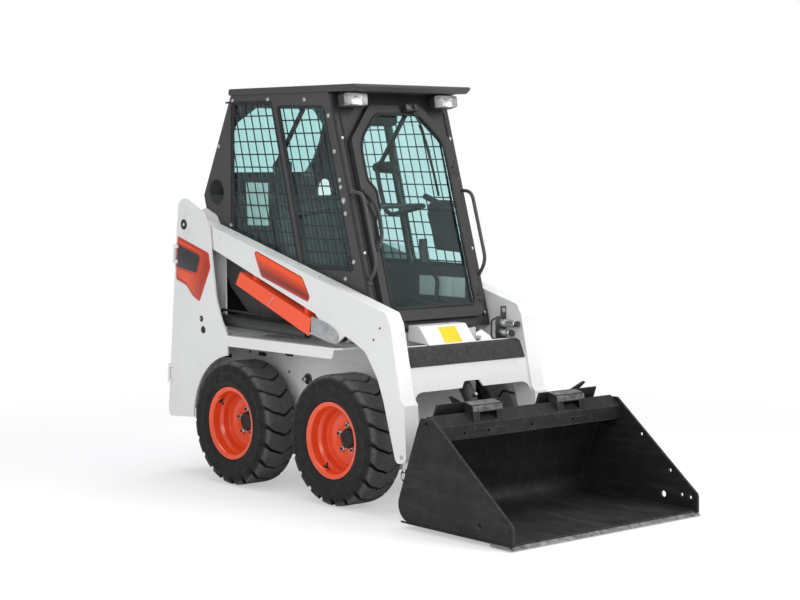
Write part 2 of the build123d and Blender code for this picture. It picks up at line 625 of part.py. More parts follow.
def make_coupler():
    """Two plates behind the bucket with hinge lugs for the arms and ears for the tilt rod."""
    front, back = GAP, GAP + COUPLER_T
    lo, hi = COUPLER_BOTTOM, COUPLER_TOP
    plate = across([(back_line(lo, front), lo), (back_line(hi, front), hi),
                    (back_line(hi, back), hi), (back_line(lo, back), lo)], COUPLER_IN, COUPLER_OUT)
    rib_lo, rib_hi, rib_depth = lo + 10, hi - 60, 42.0
    rib = [(back_line(rib_lo, back - 1), rib_lo), (back_line(rib_hi, back - 1), rib_hi),
           (back_line(rib_hi - 40, back + rib_depth), rib_hi - 40),
           (back_line(rib_lo + 30, back + rib_depth), rib_lo + 30)]
    end_rib = across(rib, COUPLER_OUT - 10, COUPLER_OUT)
    in_rib = across(rib, COUPLER_IN, COUPLER_IN + 10)
    a = radians(BACK_LEAN)
    r = HINGE_END_R - 2
    up = (-sin(a), cos(a))
    ahead = (-cos(a), -sin(a))

    def at(forward, upward):
        return (HINGE_Y + forward * ahead[0] + upward * up[0], HINGE_Z + forward * ahead[1] + upward * up[1])

    reach = (HINGE_Y - back_line(HINGE_Z, back)) * cos(a) + 1
    root = [at(reach, r), at(reach, -r)]
    lugs = [lug(HINGE_Y, HINGE_Z, r, root, TONGUE_IN - 16, TONGUE_IN - 6),
            lug(HINGE_Y, HINGE_Z, r, root, TONGUE_OUT + 6, TONGUE_OUT + 16)]
    pin = bar_x(HINGE_PIN_R, TONGUE_IN - 22, TONGUE_OUT + 22, HINGE_Y, HINGE_Z)
    side = joined(plate, end_rib, in_rib, *lugs, pin)
    eye_y, eye_z = tilt_eye()
    mid_lo, mid_hi = eye_z - 70, eye_z + 40
    middle = across([(back_line(mid_lo, front), mid_lo), (back_line(mid_hi, front), mid_hi),
                     (back_line(mid_hi, back), mid_hi), (back_line(mid_lo, back), mid_lo)],
                    -COUPLER_IN - 1, COUPLER_IN + 1)
    root = [(back_line(mid_lo, back - 1), mid_lo), (back_line(mid_hi, back - 1), mid_hi)]
    ear_in, ear_out, stub = 27.0, 37.0, 4.0
    ear = joined(lug(eye_y, eye_z, 24, root, ear_in, ear_out),
                 bar_x(PIN_R, ear_in - stub, ear_out + 5, eye_y, eye_z))
    save("coupler", joined(side, mirrored(side), middle, ear, mirrored(ear)))


HEEL_Z = 29.5
FLOOR_FRONT_Z = 16.0


def floor_z(y):
    """Height of the underside of the bucket's floor."""
    heel_y = back_line(HEEL_Z)
    return FLOOR_FRONT_Z + (HEEL_Z - FLOOR_FRONT_Z) * (y - LIP_Y) / (heel_y - LIP_Y)


GUARD_X = 245.0
GUARD_HALF = 84.0
GUARD_T = 6.0
BEAM_HOLE_X = 249.0
BEAM_HOLE_R = 7.0
SIDE_HOLES = [(-708, 440, 8), (-888, 315, 8), (-1050, 178, 8), (-1015, 72, 14), (-1115, 82, 8), (-1162, 76, 8)]


def hook_guard(x):
    """Bent guard with a window and two cheeks, over the coupler's hook on the beam."""
    front = [(-763, 402), (-746, 498), (-697, 509)]
    shell = across(bent_plate(front, -GUARD_T, [10]), x - GUARD_HALF, x + GUARD_HALF)
    shell -= block(x - 50, x + 50, -790, -735, 432, 470)
    cheek = [(-757, 415), (-742, 494), (-698, 504), (-704, 460)]
    cheeks = [across(cheek, x - GUARD_HALF, x - GUARD_HALF + 8), across(cheek, x + GUARD_HALF - 8, x + GUARD_HALF)]
    return joined(shell, *cheeks)


def make_coupler_levers():
    """Lever behind the top of each coupler plate, locked down."""
    back = GAP + COUPLER_T + GAP
    lever = [(300, COUPLER_TOP - 44, 8), (300, COUPLER_TOP - 14, 10), (388, COUPLER_TOP + 30, 3),
             (404, COUPLER_TOP + 26, 2), (360, COUPLER_TOP - 16, 12), (336, COUPLER_TOP - 44, 10)]
    lean = Plane(origin=(0, back_line(COUPLER_TOP, back), COUPLER_TOP), x_dir=(1, 0, 0),
                 z_dir=(0, -cos(radians(BACK_LEAN)), -sin(radians(BACK_LEAN))))
    arm = extrude(lean * Pos(0, -COUPLER_TOP) * outline(lever), -8)
    save("coupler_levers", *both(arm))


def make_bucket():
    """Bent shell between two end plates, with the boxed top edge and the cutting edge."""
    heel = (back_line(HEEL_Z), HEEL_Z)
    top = (back_line(BUCKET_TOP_Z), BUCKET_TOP_Z)
    front_y_shell = LIP_Y + 20
    path = [(front_y_shell, floor_z(front_y_shell)), heel, top]
    inside_half = BUCKET_HALF - BUCKET_SIDE_T + 1
    shell = across(bent_plate(path, BUCKET_SHELL_T, [BUCKET_HEEL_R]), -inside_half, inside_half)
    beam = across([top, (-706, 470, 6), (-760, 426), (-760, 370), (-752, 370),
                   (back_line(340) - 4, 340)], -inside_half, inside_half)
    end = across([(-677, 460, 8), (-746, 462, 6), (-1201, 93, 20), (LIP_Y, floor_z(LIP_Y)),
                  (*heel, BUCKET_HEEL_R), top], BUCKET_HALF - BUCKET_SIDE_T, BUCKET_HALF)
    body = joined(shell, beam, end, mirrored(end))
    for x in (-GUARD_X, GUARD_X):
        body += hook_guard(x)
    for x in (-384, -BEAM_HOLE_X, 0, BEAM_HOLE_X, 384):
        body -= Pos(x, -760, 393) * Rot(90, 0, 0) * Cylinder(BEAM_HOLE_R, 40)
    for y, z, r in SIDE_HOLES:
        for x in (-BUCKET_HALF, BUCKET_HALF):
            body -= bar_x(r, x - 20, x + 20, y, z)
    save("bucket", body)
    edge_back, edge_t = -1085.0, 13.0
    edge = across([(LIP_Y, floor_z(LIP_Y) - edge_t), (LIP_Y, floor_z(LIP_Y) - edge_t + 3),
                   (LIP_Y + 19, floor_z(LIP_Y + 19) - GAP), (edge_back, floor_z(edge_back) - GAP),
                   (edge_back, floor_z(edge_back) - edge_t)], -EDGE_HALF, EDGE_HALF)
    save("cutting_edge", edge)


# Cab

FRONT_ORIGIN_Y = FRONT_TOP_Y - FRONT_TOP_Z * tan(radians(FRONT_LEAN))
FRONT = Plane(origin=(0, FRONT_ORIGIN_Y, 0), x_dir=(1, 0, 0),
              z_dir=(0, -cos(radians(FRONT_LEAN)), sin(radians(FRONT_LEAN))))


def front_y(z, behind=0.0):
    """Y of the cab's front plane at a height, moved back squarely."""
    return FRONT_TOP_Y - (FRONT_TOP_Z - z) * tan(radians(FRONT_LEAN)) + behind / cos(radians(FRONT_LEAN))


def on_front(points):
    """Points given as X and height, as X and distance along the leaning front."""
    c = cos(radians(FRONT_LEAN))
    return [(p[0], p[1] / c, *p[2:]) for p in points]


def cab_side_outline():
    """Outline of a cab side in Y and Z."""
    z0, z1 = CAB_BOTTOM, ROOF_TOP - ROOF_T - GAP
    return [(front_y(z0, FRONT_T + GAP), z0), (front_y(z1, FRONT_T + GAP), z1), (ROOF_REAR_Y, z1),
            (1085, KNEE_Z), (1069, KNEE_Z - 56), (880, 900, 60), (700, z0, 30)]


PANE_BOTTOM = 1015.0
REAR_PANE = [(865, ROOF_TOP - 69), (563, ROOF_TOP - 69), (367, PANE_BOTTOM), (872, PANE_BOTTOM)]
FRONT_PANE = [(524, ROOF_TOP - 85), (195, ROOF_TOP - 92), (-6, PANE_BOTTOM - 4), (331, PANE_BOTTOM)]


def make_cab_sides():
    """Side panels with two windows and a round hole each, their panes and screens."""
    inner = CAB_HALF - CAB_WALL
    side = across(cab_side_outline(), inner, CAB_HALF)
    for pane in (REAR_PANE, FRONT_PANE):
        side -= across([(*p, 20) for p in pane], inner - 1, CAB_HALF + 1)
    side -= bar_x(60, inner - 1, CAB_HALF + 1, 988, KNEE_Z + 14)
    save("cab_side_left", side)
    save("cab_side_right", mirrored(side))
    panes = []
    for pane in (REAR_PANE, FRONT_PANE):
        cx = sum(p[0] for p in pane) / 4
        cz = sum(p[1] for p in pane) / 4
        grown = [(cx + (p[0] - cx) * 1.03, cz + (p[1] - cz) * 1.03, 20) for p in pane]
        glass = across(grown, inner - GAP - GLASS_T, inner - GAP)
        panes += both(glass)
    save("side_glass", *panes)


def make_side_screens():
    """Wire grilles in the side windows, with uprights that lean as the window's post does."""
    inner = CAB_HALF - CAB_WALL
    screens = []
    for pane in (REAR_PANE, FRONT_PANE):
        top = min(pane[0][1], pane[1][1])
        lean = (pane[1][0] - pane[2][0]) / (pane[1][1] - pane[2][1])
        rim = outline([(*p, 20) for p in pane])
        edge = offset(rim, -GAP)
        inside = offset(rim, -GAP - MESH_WIRE)
        half = (MESH_PITCH - MESH_WIRE) / 2
        cells = []
        rows = int((top - PANE_BOTTOM) / MESH_PITCH) + 2
        for row in range(rows):
            z = top + MESH_PITCH / 2 - row * MESH_PITCH
            y = pane[1][0] - (pane[1][1] - z) * lean - MESH_PITCH / 2
            while y < pane[3][0] + MESH_PITCH:
                slip = half * lean
                cells.append(make_face(Polyline(
                    (y - half + slip, z + half), (y + half + slip, z + half),
                    (y + half - slip, z - half), (y - half - slip, z - half), close=True)))
                y += MESH_PITCH
        holes = [piece for cell in cells for piece in (cell & inside).faces() if piece.area > 60]
        screen = extrude(Plane.YZ.offset(inner + 3) * (edge - holes), MESH_WIRE)
        screens += both(screen)
    save("side_screens", *screens)


def make_cab_roof():
    """Flat roof with the visor that carries the work lights."""
    roof = across([(VISOR_Y, ROOF_TOP - 12), (VISOR_Y, ROOF_TOP, 5), (ROOF_REAR_Y + 12, ROOF_TOP, 12),
                   (ROOF_REAR_Y + 12, ROOF_TOP - ROOF_T), (VISOR_Y + 25, ROOF_TOP - ROOF_T)],
                  -ROOF_HALF, ROOF_HALF)
    save("cab_roof", roof)


def make_cab_rear():
    """Rear wall between the sides, with its window and pane."""
    half = CAB_HALF - CAB_WALL - GAP
    t = 12.0
    z1 = ROOF_TOP - ROOF_T - GAP
    path = [(ROOF_REAR_Y, z1), (1085, KNEE_Z), (1069, KNEE_Z - 56), (884, 905)]
    wall = across(bent_plate(path, -t, [0, 0]), -half, half)
    rise = ROOF_TOP - 82
    window = [(-172, rise, 10), (172, rise, 10), (262, rise - 72, 30), (270, rise - 158, 20),
              (262, rise - 234, 20), (235, rise - 302, 20), (-235, rise - 302, 20),
              (-262, rise - 234, 20), (-270, rise - 158, 20), (-262, rise - 72, 30)]
    wall -= extrude(Plane.XZ.offset(-1200) * outline(window), 500)
    save("cab_rear_wall", wall)
    slope = (1085 - ROOF_REAR_Y) / (z1 - KNEE_Z)
    pane_path = shifted([(ROOF_REAR_Y + (z1 - z) * slope, z) for z in (rise + 16, rise - 318)], -t - GAP)
    save("rear_glass", across(bent_plate(pane_path, -GLASS_T, []), -288, 288))


HALF_POST = 322.0
FRONT_UP = (0, sin(radians(FRONT_LEAN)), cos(radians(FRONT_LEAN)))
DOOR_HINGE_X = DOOR_HALF + 2
DOOR_HINGE_R = 8.0
DOOR_HINGE_L = 44.0
DOOR_HINGES_Z = (1436.0, 870.0)


def make_cab_front():
    """Leaning front frame round the door."""
    half = CAB_HALF
    z0, z1 = CAB_BOTTOM, ROOF_TOP - ROOF_T - GAP
    ring = on_front([(-half, z0), (half, z0), (half, z1 - 6), (-half, z1 - 6)])
    opening = on_front(door_outline(-6))
    frame = extrude(FRONT.offset(-FRONT_T) * outline(ring), FRONT_T)
    frame -= extrude(FRONT.offset(-FRONT_T - 1) * outline(opening), FRONT_T + 2)
    top_cut = block(-half - 1, half + 1, -600, 900, ROOF_TOP - ROOF_T - GAP, ROOF_TOP + 60)
    frame -= top_cut
    for z in DOOR_HINGES_Z:
        for barrel_end in door_hinge(z)[1]:
            foot = barrel_end.center() - FRONT.z_dir * 8
            leaf = Plane(origin=foot, x_dir=(1, 0, 0), z_dir=FRONT_UP) * Box(12, 16, DOOR_HINGE_L * 0.35 - 1)
            frame += [barrel_end, leaf]
    save("cab_front_frame", frame)
    lamp_z = ROOF_TOP - ROOF_T - GAP
    lamp = across([(38, lamp_z - 50, 5), (26, lamp_z), (116, lamp_z), (104, lamp_z - 44, 8)], 214, 318)
    save("work_lights", *both(lamp))
    handle_x = HALF_POST
    out = 70.0
    hi, lo = HANDLE_TOP, HANDLE_TOP - 391
    points = [(handle_x, front_y(hi, 8), hi), (handle_x, front_y(hi) - out, hi - 4),
              (handle_x, front_y(lo + 77) - out, lo + 77), (handle_x, front_y(lo, 8), lo)]
    behind = extrude(FRONT.offset(GAP) * Pos(handle_x, (hi + lo) / 2) * Rectangle(100, 900), -60)
    save("grab_handles", *both(tube(points, 8.0, 24.0) - behind))


def door_outline(grow):
    """Outline of the door, larger all round by what is given."""
    h, lo, hi = DOOR_HALF + grow, DOOR_BOTTOM - grow, DOOR_TOP + grow
    return [(-h, lo, 40), (h, lo, 40), (h, hi - 150, 50), (152 + grow / 2, hi, 40),
            (-152 - grow / 2, hi, 40), (-h, hi - 150, 50)]


def door_hinge(z):
    """Barrels of one door hinge: the door's own and the frame's two."""
    n = FRONT.z_dir
    place = Vector(DOOR_HINGE_X, front_y(z), z) + n * (GAP + DOOR_T / 2 + 0.7)
    return hinge_barrels((place.X, place.Y, place.Z), FRONT_UP, DOOR_HINGE_R, DOOR_HINGE_L)


def make_door():
    """Glazed front door, hinged on the machine's left."""
    h, lo, hi = DOOR_HALF - 46, DOOR_BOTTOM + 52, DOOR_TOP - 40
    lobe_in, lobe_lo, lobe_hi = 40.0, HANDLE_TOP - 128, HANDLE_TOP + 42

    def pane(less):
        """Outline of the glass, smaller all round by what is given, round the latch's lobe."""
        return [(-h + less, lo + less, 30), (h - less, lo + less, 30), (h - less, hi - 120, 60),
                (128, hi - less, 30), (-128, hi - less, 30), (-h + less, hi - 120, 60),
                (-h + less, lobe_hi + less, 16), (-h + lobe_in + less, lobe_hi - 40, 24),
                (-h + lobe_in + less, lobe_lo + 40, 24), (-h + less, lobe_lo - less, 16)]

    frame = extrude(FRONT.offset(GAP) * outline(on_front(door_outline(0))), DOOR_T)
    frame -= extrude(FRONT.offset(-1) * outline(on_front(pane(0))), DOOR_T + 4)
    for z in DOOR_HINGES_Z:
        moving, fixed = door_hinge(z)
        for barrel_end in fixed:
            middle = barrel_end.center()
            frame -= Plane(origin=middle, x_dir=(1, 0, 0), z_dir=FRONT_UP) * Box(
                24, 60, DOOR_HINGE_L * 0.35 + 4)
        frame += moving
    save("door_frame", frame)
    save("door_glass", extrude(FRONT.offset(GAP + 10) * outline(on_front(pane(GAP))), GLASS_T))


FLOOR_Z = 440.0
DECK_Z = 762.0
FLOOR_T = 6.0
CONSOLE_WIDTH = 74.0
LEVER_TOP = 1130.0


def make_cab_floor():
    """Foot well between the chaincases, seat riser and deck."""
    t = FLOOR_T
    well = FRAME_HALF - FRAME_WALL - GAP
    front_in = FRAME_FRONT + FRAME_WALL + GAP
    path = [(front_in + 2, FRAME_TOP - 10), (front_in + 30, FLOOR_Z), (372, FLOOR_Z), (372, DECK_Z - t)]
    pan = across(bent_plate(path[::-1], -t, [10, 10]), -well, well)
    deck = block(-(CAB_HALF - CAB_WALL - GAP), CAB_HALF - CAB_WALL - GAP, 366, 700, DECK_Z - t, DECK_Z)
    save("cab_floor", pan + deck)


def make_controls():
    """Side consoles with the steering levers, a display on the front post and two pedals."""
    wall = CAB_HALF - CAB_WALL - GAP
    console = across([(60, DECK_Z + 8, 10), (340, DECK_Z + 8), (340, DECK_Z + 92, 20), (90, DECK_Z + 70, 30)],
                     wall - CONSOLE_WIDTH, wall)
    lever_x = wall - CONSOLE_WIDTH / 2
    stalk = tube([(lever_x, 140, DECK_Z + 60), (lever_x, 128, LEVER_TOP - 190), (lever_x - 78, 122, LEVER_TOP - 100),
                  (lever_x - 82, 132, LEVER_TOP - 40)], 9.0, 40.0)
    grip = bar_between((lever_x - 81, 130, LEVER_TOP - 105), (lever_x - 83, 136, LEVER_TOP), 19.0)
    station = joined(console, stalk, grip)
    pod_lo, pod_hi = DECK_Z + 310, DECK_Z + 495
    behind = FRONT_T + GAP
    pod = across([(front_y(pod_lo, behind), pod_lo), (110, pod_lo + 8, 14), (176, pod_hi, 14),
                  (front_y(pod_hi, behind), pod_hi)], 258, wall - GLASS_T - 2 * GAP)
    pedal_z = FLOOR_Z + FLOOR_T + GAP
    pedal = across([(-108, pedal_z), (-30, pedal_z), (-52, pedal_z + 70, 8), (-108, pedal_z + 84, 8)], 60, 150)
    save("controls", *both(station), pod, *both(pedal))


def make_seat():
    """Seat cushion and backrest."""
    cushion = across([(330, DECK_Z + 40, 30), (330, DECK_Z + 130, 40), (650, DECK_Z + 110, 20),
                      (650, DECK_Z + GAP, 10), (400, DECK_Z + GAP, 10)], -215, 215)
    back = across([(604, DECK_Z + 113.3), (700, 1330, 40), (770, 1330, 30), (720, DECK_Z + 111.5),
                   (632, DECK_Z + 111.5)], -215, 215)
    save("seat", cushion, back)


SEAT_BAR_Y = 557.0
SEAT_BAR_Z = 1452.0


def make_seat_bar():
    """Bar over the operator's lap, on two pivots at the cab's sides."""
    x = 285.0
    arm = [(x, SEAT_BAR_Y, SEAT_BAR_Z), (x, 527, 1341), (x, 483, 1224), (x, 193, 1279), (0, 193, 1279)]
    half = tube(arm, 11.0, 40.0)
    eye = bar_x(20, x - 9, x + 9, SEAT_BAR_Y, SEAT_BAR_Z)
    bore = bar_x(8 + PIN_GAP, x - 12, x + 12, SEAT_BAR_Y, SEAT_BAR_Z)
    side = (half + eye) - bore
    save("seat_bar", side + mirrored(side))
    wall = CAB_HALF - CAB_WALL
    post_y = (REAR_PANE[1][0] + FRONT_PANE[0][0] + REAR_PANE[2][0] + FRONT_PANE[3][0]) / 4 + 21
    inside_glass = wall - 2 * GAP - GLASS_T
    mount = joined(bar_x(8, x - 14, inside_glass, SEAT_BAR_Y, SEAT_BAR_Z),
                   across([(post_y - 12, SEAT_BAR_Z - 30, 8), (SEAT_BAR_Y + 22, SEAT_BAR_Z - 24, 20),
                           (SEAT_BAR_Y + 22, SEAT_BAR_Z + 24, 20), (post_y - 12, SEAT_BAR_Z + 30, 8)],
                          x + 15, inside_glass),
                   block(x + 15, wall - GAP, post_y - 4, post_y + 4, SEAT_BAR_Z - 12, SEAT_BAR_Z + 12))
    save("seat_bar_pivots", *both(mount))


def main():
    """Write every piece of the machine."""
    os.makedirs("parts", exist_ok=True)
    make_wheels()
    make_main_frame()
    make_engine()
    make_side_frames()
    make_lift_arms()
    make_arm_fittings()
    make_tail()
    make_lift_cylinders()
    make_tilt_cylinder()
    make_coupler()
    make_coupler_levers()
    make_bucket()
    make_cab_sides()
    make_side_screens()
    make_cab_roof()
    make_cab_rear()
    make_cab_front()
    make_door()
    make_cab_floor()
    make_controls()
    make_seat()
    make_seat_bar()


if __name__ == "__main__":
    main()
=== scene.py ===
"""Looks of a compact skid steer loader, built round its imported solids.

Laid out as an add-on and run as a script. Lengths in the tables are millimetres on
the machine: X across with its left at +X, -Y forward, Z up, Y zero at the front axle.
"""

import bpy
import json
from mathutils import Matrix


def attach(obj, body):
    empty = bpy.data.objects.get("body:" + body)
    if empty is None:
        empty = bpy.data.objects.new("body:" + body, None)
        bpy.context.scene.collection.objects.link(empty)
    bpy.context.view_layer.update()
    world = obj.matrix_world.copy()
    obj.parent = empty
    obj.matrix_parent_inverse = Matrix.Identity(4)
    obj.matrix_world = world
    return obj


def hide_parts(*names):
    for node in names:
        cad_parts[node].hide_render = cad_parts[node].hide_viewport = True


bl_info = {
    "name": "Skid Steer Loader Dressing",
    "version": (1, 0, 0),
    "blender": (4, 5, 0),
    "location": "View3D > Sidebar > Loader",
    "description": "Dresses the solids of a compact skid steer loader",
    "category": "Object",
}

import json
import math

import bmesh
import bpy
import numpy as np
from mathutils import Vector

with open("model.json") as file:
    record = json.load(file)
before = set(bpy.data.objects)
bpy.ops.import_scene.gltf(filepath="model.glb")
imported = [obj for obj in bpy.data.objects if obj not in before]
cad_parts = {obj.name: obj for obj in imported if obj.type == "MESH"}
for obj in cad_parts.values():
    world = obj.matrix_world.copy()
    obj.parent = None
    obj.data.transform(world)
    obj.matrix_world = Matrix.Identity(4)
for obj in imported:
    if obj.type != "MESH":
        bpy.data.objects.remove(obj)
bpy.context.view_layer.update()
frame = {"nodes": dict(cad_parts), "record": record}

MM = 0.001
SHIFT_Y = -0.021
TAU = 2 * math.pi
LEAN = math.radians(16.6)
WHEEL_PLACES = (("front", 0.0), ("rear", 722.0))
VALVE_TURN = {"front": -63.0, "rear": 41.0}
SIDES = (("left", 1), ("right", -1))
AXLE_Z = 285.0
TYRE_IN = 268.0
TYRE_WIDTH = 204.0
LUG_FRONT = 0.07
LUG_EDGE = 0.04
RIGHT_TURN = 0.21
STUD_CIRCLE = 58.0
TAIL_LEAN = 0.0905
ARM_FACE = 425
UPRIGHT_FACE = 440
WALL_FACE = 240
ARM_PIVOT = (1079, 1186)
BARREL_PIN = (957, 750)
ROD_PIN = (14, 730)
BUCKET_HINGE = (-430, 180)
TILT_PIN = (-215, 725)
TILT_EYE_REACH = 150
TILT_EYE_TURN = math.radians(66.5)
EYE_PIN = 14
LIFT_CYLINDER = {"length": 720, "radius": 28, "bore": 22, "rod_radius": 15, "rod_length": 800,
                 "halves": (17, 17)}
TILT_CYLINDER = {"length": 372, "radius": 29, "bore": 22, "rod_radius": 16, "rod_length": 392,
                 "halves": (28, 20)}
BAR_PIVOT = (557, 1452)
BRACE_ENDS = ((333, 1752), (557, 1466))
FRAME_PORT = (420, 499)
DUST_COLOUR = (0.3, 0.27, 0.23)
MERGE_REACH = 0.00002
CAMERA_PLACE = (-5599.0, -6244.0, 1495.0)
CAMERA_AIM = (-141.5, -98.1, 864.2)
CAMERA_LENS = 85.35
LAMP_AIM = (0, 0, 0.8)


# Places and outlines

def mm(points):
    """Millimetres on the machine as metres in the model's frame."""
    p = np.array(points, float) * MM
    p[..., 1] += SHIFT_Y
    return p


def front_y(z, out=0.0):
    """Y of the cab's leaning front at height z, moved out squarely."""
    return 125.0 - (1727.0 - z) * math.tan(LEAN) - out / math.cos(LEAN)


def tail_y(z, out=0.0):
    """Y of the leaning tail at height z, moved out to the rear."""
    return 1236.0 - (z - 290.0) * TAIL_LEAN + out


def rounded(points, radius, steps=6, closed=True):
    """Corners turned into arcs: each corner P between A and B becomes the quadratic
    curve from P + r.a to P + r.b with its pull at P, a and b being unit vectors."""
    p = np.array(points, float)
    n = len(p)
    radii = np.broadcast_to(np.asarray(radius, float), (n,))
    t = np.linspace(0, 1, steps + 1)[:, None]
    line = []
    for i in range(n):
        if not closed and i in (0, n - 1):
            line.append(p[i][None])
            continue
        a, b = p[i - 1] - p[i], p[(i + 1) % n] - p[i]
        la, lb = np.linalg.norm(a), np.linalg.norm(b)
        r = min(radii[i], la * 0.49, lb * 0.49)
        if r < 1e-6:
            line.append(p[i][None])
            continue
        start, end = p[i] + a / la * r, p[i] + b / lb * r
        line.append((1 - t) ** 2 * start + 2 * t * (1 - t) * p[i] + t ** 2 * end)
    return np.vstack(line)


def inset(outline, depth):
    """A closed outline moved inwards: each point by depth along its mitred normal."""
    p = np.asarray(outline, float)
    ahead = np.roll(p, -1, 0) - p
    ahead /= np.linalg.norm(ahead, axis=1)[:, None] + 1e-12
    normal = np.stack([-ahead[:, 1], ahead[:, 0]], 1)
    both = normal + np.roll(normal, 1, 0)
    both /= np.maximum((both ** 2).sum(1), 0.4)[:, None] / 2
    turn = np.sign((p[:, 0] * np.roll(p[:, 1], -1) - np.roll(p[:, 0], -1) * p[:, 1]).sum())
    return p + both * depth * turn


def circle(radius, count):
    """Points round a circle: radius (cos a, sin a)."""
    a = np.arange(count) * TAU / count
    return radius * np.stack([np.cos(a), np.sin(a)], 1)


class Plane:
    """A flat place on the machine: origin + u.U + v.V + w.W, with W pointing out."""

    def __init__(self, origin, across, up):
        self.origin = np.array(origin, float)
        self.u = np.array(across, float) / np.linalg.norm(across)
        v = np.array(up, float)
        v -= self.u * (v @ self.u)
        self.v = v / np.linalg.norm(v)
        self.w = np.cross(self.u, self.v)

    def at(self, outline, out=0.0):
        """Points of a flat outline lifted off the plane."""
        p = np.asarray(outline, float)
        flat = p[..., :1] * self.u + p[..., 1:2] * self.v
        return self.origin + flat + np.asarray(out)[..., None] * self.w


def side_plane(side, x):
    """Plane at X = side.x, with (y, z) as its own two numbers."""
    plane = Plane((side * x, 0, 0), (0, 1, 0), (0, 0, 1))
    plane.w = np.array([side, 0, 0], float)
    return plane


def front_plane(out=0.0):
    """Plane of the cab's leaning front, with X and slant height as its numbers."""
    foot = front_y(0, out)
    return Plane((0, foot, 0), (1, 0, 0), (0, math.sin(LEAN), math.cos(LEAN)))


def slant(z):
    """Slant height on the front plane of a point at height z."""
    return z / math.cos(LEAN)


# Meshes

